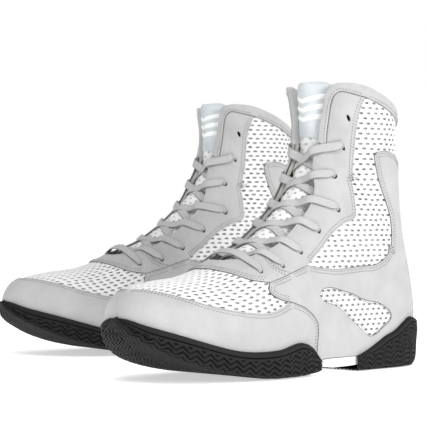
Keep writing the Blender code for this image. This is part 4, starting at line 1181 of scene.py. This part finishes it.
def refined(control, counts):
    """Interpolates a grid of profile points (rows, k, 3) into more columns, counts between neighbours."""
    k = control.shape[1]
    steps = [np.linspace(i, i + 1, c, endpoint=False) for i, c in zip(range(k - 1), counts)]
    at = np.concatenate(steps + [[k - 1]])
    i = np.clip(np.floor(at).astype(int), 0, k - 2)
    t = (at - i)[None, :, None]
    a, b = control[:, i], control[:, i + 1]
    before = np.where((i > 0)[None, :, None], control[:, np.maximum(i - 1, 0)], 2 * a - b)
    after = np.where((i + 2 < k)[None, :, None], control[:, np.minimum(i + 2, k - 1)], 2 * b - a)
    slope = 0.35
    ma, mb = (b - before) * slope, (after - a) * slope
    return ((2 * t ** 3 - 3 * t ** 2 + 1) * a + (t ** 3 - 2 * t ** 2 + t) * ma
            + (-2 * t ** 3 + 3 * t ** 2) * b + (t ** 3 - t ** 2) * mb)


def treaded(grid, first_tread, depth=0.9):
    """The outward direction of a grid of rubber points, and how deep the grooves beyond a column cut in."""
    along_run = np.cumsum(np.linalg.norm(np.diff(grid[:, first_tread + 4], axis=0), axis=1))
    along_run = np.concatenate([[0.0], along_run])[:, None]
    down_run = np.zeros(grid.shape[:2])
    down_run[:, 1:] = np.cumsum(np.linalg.norm(np.diff(grid, axis=1), axis=2), axis=1)
    down_run -= down_run[:, first_tread:first_tread + 1]
    ds, dv = np.gradient(grid, axis=0), np.gradient(grid, axis=1)
    out = unit(np.cross(dv, ds))
    columns = np.arange(grid.shape[1])[None]
    active = (columns >= first_tread) & (down_run > 1.0)
    cut_back = np.where(active, zigzag_depth(along_run, down_run, depth=depth), 0.0)
    return out, cut_back


# The rim band and the groove under it: share of the wall, distance from the rim (mm), height (mm)
BAND_PROFILE = (
    (0.0, 0.0, 0.7), (0.02, 0.15, 2.5), (0.16, 1.0, 3.4), (0.42, 3.3, 3.4), (0.5, 3.9, 2.0),
    (0.58, 4.5, 3.4), (0.85, 9.0, 3.6),
)
BAND_COLUMNS = [2, 3, 4, 2, 2]
FIRST_TREAD = sum(BAND_COLUMNS) + 1


def forefoot():
    count = 460
    s = FOREFOOT_RIM[-1][0] * (np.linspace(0, 1, count) ** 1.25)
    rim = np.minimum(spline([(a, b) for a, b in FOREFOOT_RIM], np.interp(
        s, [a for a, _ in FOREFOOT_RIM], np.arange(len(FOREFOOT_RIM))))[:, 1], 0.999)
    floor = height_at(FOREFOOT_DEPTH, s)
    wall = 0.7 + 0.3 * np.clip(s / 1.2, 0, 1)
    across = metric(s, rim)[1]
    half = []
    for share, reach, high in BAND_PROFILE:
        v = rim + np.minimum(reach / across, (1 - rim) * share)
        half.append(lifted(s, v, high * wall))
    spread = 2.2 + 1.2 * np.clip((s - 1.0) / 3.0, 0, 1)
    half.append(sole_point(s, 1, floor * 0.30, spread))
    half.append(sole_point(s, 1, floor * 0.75, spread - 0.6))
    half.append(sole_point(s, 0.93, floor))
    half.append(sole_point(s, 0.5, floor))
    half.append(sole_point(s, 0.0, floor))
    control = np.stack(half, 1)
    tip = on_last(np.array(0.0), np.array(0.0)) + np.array([2.3, 0, 0])
    blend = np.clip(1 - np.arange(count) / 3.0, 0, 1)[:, None, None]
    control = control * (1 - blend) + tip * blend
    grid = refined(control, BAND_COLUMNS + [10, 10, 10, 8, 36, 36])
    shift = rows_at(s)[:, 7][:, None]
    grid[:, -1, 1] = shift[:, 0]
    twin = grid[:, -2::-1].copy()
    twin[..., 1] = 2 * shift - twin[..., 1]
    out, back_cut = treaded(grid, FIRST_TREAD, 1.3)
    fade = np.clip((s - 0.25) / 0.5, 0, 1)[:, None]
    back_cut = back_cut * fade
    centre = np.stack([rows_at(s)[:, 0], rows_at(s)[:, 7], rows_at(s)[:, 1] + 12], -1)[:, None]
    sign = np.sign(np.sum(out * (grid - centre), axis=2, keepdims=True))
    inner = grid - out * sign * back_cut[..., None]
    inner_twin = inner[:, -2::-1].copy()
    inner_twin[..., 1] = 2 * shift - inner_twin[..., 1]
    outer_grid = np.concatenate([inner, inner_twin], 1)
    lift = np.array([0, 0, 1.0])
    inside_grid = np.concatenate([grid, twin], 1)
    middle = np.stack([rows_at(s)[:, 0], rows_at(s)[:, 7], rows_at(s)[:, 1] + 1.0], -1)[:, None]
    inside_grid = inside_grid + unit(middle - inside_grid) * 2.4 + lift * 0.2
    shape = Shape()
    closed_grid(shape, outer_grid[1:, ::-1], inside_grid[1:, ::-1])
    boots("outsole_forefoot", shape, [RUBBER], ["outsole_forefoot"], smooth_deg=45)


HEEL_ROCKER_START, HEEL_ROCKER_LENGTH, HEEL_ROCKER_RISE = 16.0, 21.0, 7.0


def heel():
    count = 260
    at = np.linspace(0, len(HEEL_RIM) - 1, count)
    rim, foot = spline(HEEL_RIM, at), spline(HEEL_FEATHER, at)
    rim[:, 1], foot[:, 0], foot[:, 1] = np.minimum(rim[:, 1], 1.0), np.minimum(foot[:, 0], 10.995), 1.0
    edge = on_last(foot[:, 0], foot[:, 1])
    shift = rows_at(foot[:, 0])[:, 7]
    outward = np.stack([edge[:, 0] - 42.0, edge[:, 1] - shift, 0 * shift], 1)
    start = np.clip(1 - at / 1.8, 0, 1)[:, None]
    outward = unit(unit(outward) * (1 - start) + np.array([0, 1.0, 0]) * start)

    def skirt(z, out):
        p = edge + outward * out
        return np.stack([p[:, 0], np.maximum(p[:, 1], shift), np.broadcast_to(z, shift.shape)], 1)

    half = []
    wall_height = np.maximum(np.linalg.norm(on_last(rim[:, 0], rim[:, 1]) - edge, axis=1), 1.0)
    for share, reach, high in BAND_PROFILE:
        place_at = rim + (foot - rim) * np.minimum(reach / wall_height, share)[:, None]
        half.append(lifted(place_at[:, 0], place_at[:, 1], np.full(count, high)))
    lift = HEEL_ROCKER_RISE * np.clip((HEEL_ROCKER_START - edge[:, 0]) / HEEL_ROCKER_LENGTH, 0, 1) ** 1.6
    half.append(skirt(edge[:, 2] - 2.0, 3.5))
    half.append(skirt(5.0 + lift, 3.2))
    half.append(skirt(1.2 + lift, 2.4))
    half.append(skirt(lift, 0.8))
    bottom = half[-1].copy()
    for share in (0.5, 0.0):
        p = bottom.copy()
        p[:, 1] = shift + (bottom[:, 1] - shift) * share
        half.append(p)
    control = np.stack(half, 1)
    grid = refined(control, BAND_COLUMNS + [10, 10, 14, 10, 3, 20, 22])
    grid[-1, :, 1] = shift[-1]
    grid[:, -1, 1] = shift
    out, back_cut = treaded(grid, FIRST_TREAD, 1.2)
    centre = np.stack([edge[:, 0] * 0 + 45, shift, edge[:, 2] + 5], -1)[:, None]
    sign = np.sign(np.sum(out * (grid - centre), axis=2, keepdims=True))
    outer = grid - out * sign * back_cut[..., None]
    outer[..., 1] = np.maximum(outer[..., 1], shift[:, None])
    outer_twin, twin = outer[:, -2::-1].copy(), grid[:, -2::-1].copy()
    for side in (outer_twin, twin):
        side[..., 1] = 2 * shift[:, None] - side[..., 1]
    outer = np.concatenate([outer, outer_twin], 1)
    inner = np.concatenate([grid, twin], 1)
    middle = np.stack([np.clip(edge[:, 0], 12, 90), shift, edge[:, 2] + 1.0], -1)[:, None]
    inner = inner + unit(middle - inner) * 2.2
    shape = Shape()
    closed_grid(shape, outer[:, ::-1], inner[:, ::-1])
    boots("outsole_heel", shape, [RUBBER], ["outsole_heel"], smooth_deg=45)


def carried_nodes():
    """CAD nodes that stay: sealed or hidden inside, they keep their shape and get a real finish."""
    finishes = {
        "midsole": FOAM, "insole_board": BOARD, "sockliner": KNIT, "toe_puff": BOARD, "heel_counter": BOARD,
        "collar_foam": FOAM, "vamp_lining": KNIT,
    }
    for label in ("left", "right"):
        for name, material in finishes.items():
            node = bpy.data.objects[f"{label}_{name}"]
            node.data.materials.clear()
            node.data.materials.append(material)


# ---------------------------------------------------------------- stage

# In metres: the floor lies a little under the soles
FLOOR_HALF, FLOOR_Z, FLOOR_GLOW, ROOM_LIGHT = 6.0, -0.0006, 0.55, 0.52
# The view, fitted to the photograph: lens and sensor in millimetres, places in metres
CAMERA_LENS, CAMERA_SENSOR, CAMERA_SHIFT = 150.7, 36.0, 0.0335
CAMERA_AZIMUTH_DEG, CAMERA_REACH, CAMERA_HEIGHT, CAMERA_AIM_X = 143.4, 1.4374, 0.106, -0.0033


def stage():
    floor = bpy.data.meshes.new("floor")
    corners = [(x * FLOOR_HALF, y * FLOOR_HALF, FLOOR_Z) for x, y in ((-1, -1), (1, -1), (1, 1), (-1, 1))]
    floor.from_pydata(corners, [], [(0, 1, 2, 3)])
    material, nodes, links, shader = new_material("floor paper", grey(0.97), 0.9)
    shader.inputs["Emission Color"].default_value = (1, 1, 1, 1)
    shader.inputs["Emission Strength"].default_value = FLOOR_GLOW
    floor.materials.append(material)
    piece = bpy.data.objects.new("floor", floor)
    bpy.context.scene.collection.objects.link(piece)
    world = bpy.data.worlds.new("studio")
    world.use_nodes = True
    nodes, links = world.node_tree.nodes, world.node_tree.links
    soft = nodes["Background"]
    soft.inputs["Color"].default_value = (1, 1, 1, 1)
    soft.inputs["Strength"].default_value = ROOM_LIGHT
    seen = nodes.new("ShaderNodeBackground")
    seen.inputs["Strength"].default_value = 1.0
    seen.inputs["Color"].default_value = (1, 1, 1, 1)
    chooser, path = nodes.new("ShaderNodeMixShader"), nodes.new("ShaderNodeLightPath")
    links.new(path.outputs["Is Camera Ray"], chooser.inputs["Fac"])
    links.new(soft.outputs[0], chooser.inputs[1])
    links.new(seen.outputs[0], chooser.inputs[2])
    links.new(chooser.outputs[0], nodes["World Output"].inputs["Surface"])
    bpy.context.scene.world = world
    bpy.context.scene.view_settings.view_transform = "Standard"
    for name, spot, aim, size, power in (
        ("key", (1.1, 0.9, 1.7), (0, 0, 0.08), 0.9, 18),
        ("side", (-0.2, 1.9, 0.7), (0, 0, 0.1), 0.8, 20),
    ):
        light = bpy.data.lights.new(name, "AREA")
        light.size, light.energy = size, power
        lamp = bpy.data.objects.new(name, light)
        lamp.location = spot
        lamp.rotation_euler = (Vector(aim) - Vector(spot)).to_track_quat("-Z", "Y").to_euler()
        bpy.context.scene.collection.objects.link(lamp)
    camera = bpy.data.cameras.new("camera")
    camera.lens, camera.sensor_width, camera.shift_y = CAMERA_LENS, CAMERA_SENSOR, CAMERA_SHIFT
    holder = bpy.data.objects.new("camera", camera)
    azimuth = math.radians(CAMERA_AZIMUTH_DEG)
    holder.location = (
        CAMERA_AIM_X + CAMERA_REACH * math.sin(azimuth), -CAMERA_REACH * math.cos(azimuth), CAMERA_HEIGHT,
    )
    holder.rotation_euler = (math.pi / 2, 0, azimuth)
    bpy.context.scene.collection.objects.link(holder)
    bpy.context.scene.camera = holder


stitching(upper())
tongue()
lace(1)
lace(-1)
forefoot()
heel()
carried_nodes()
stage()
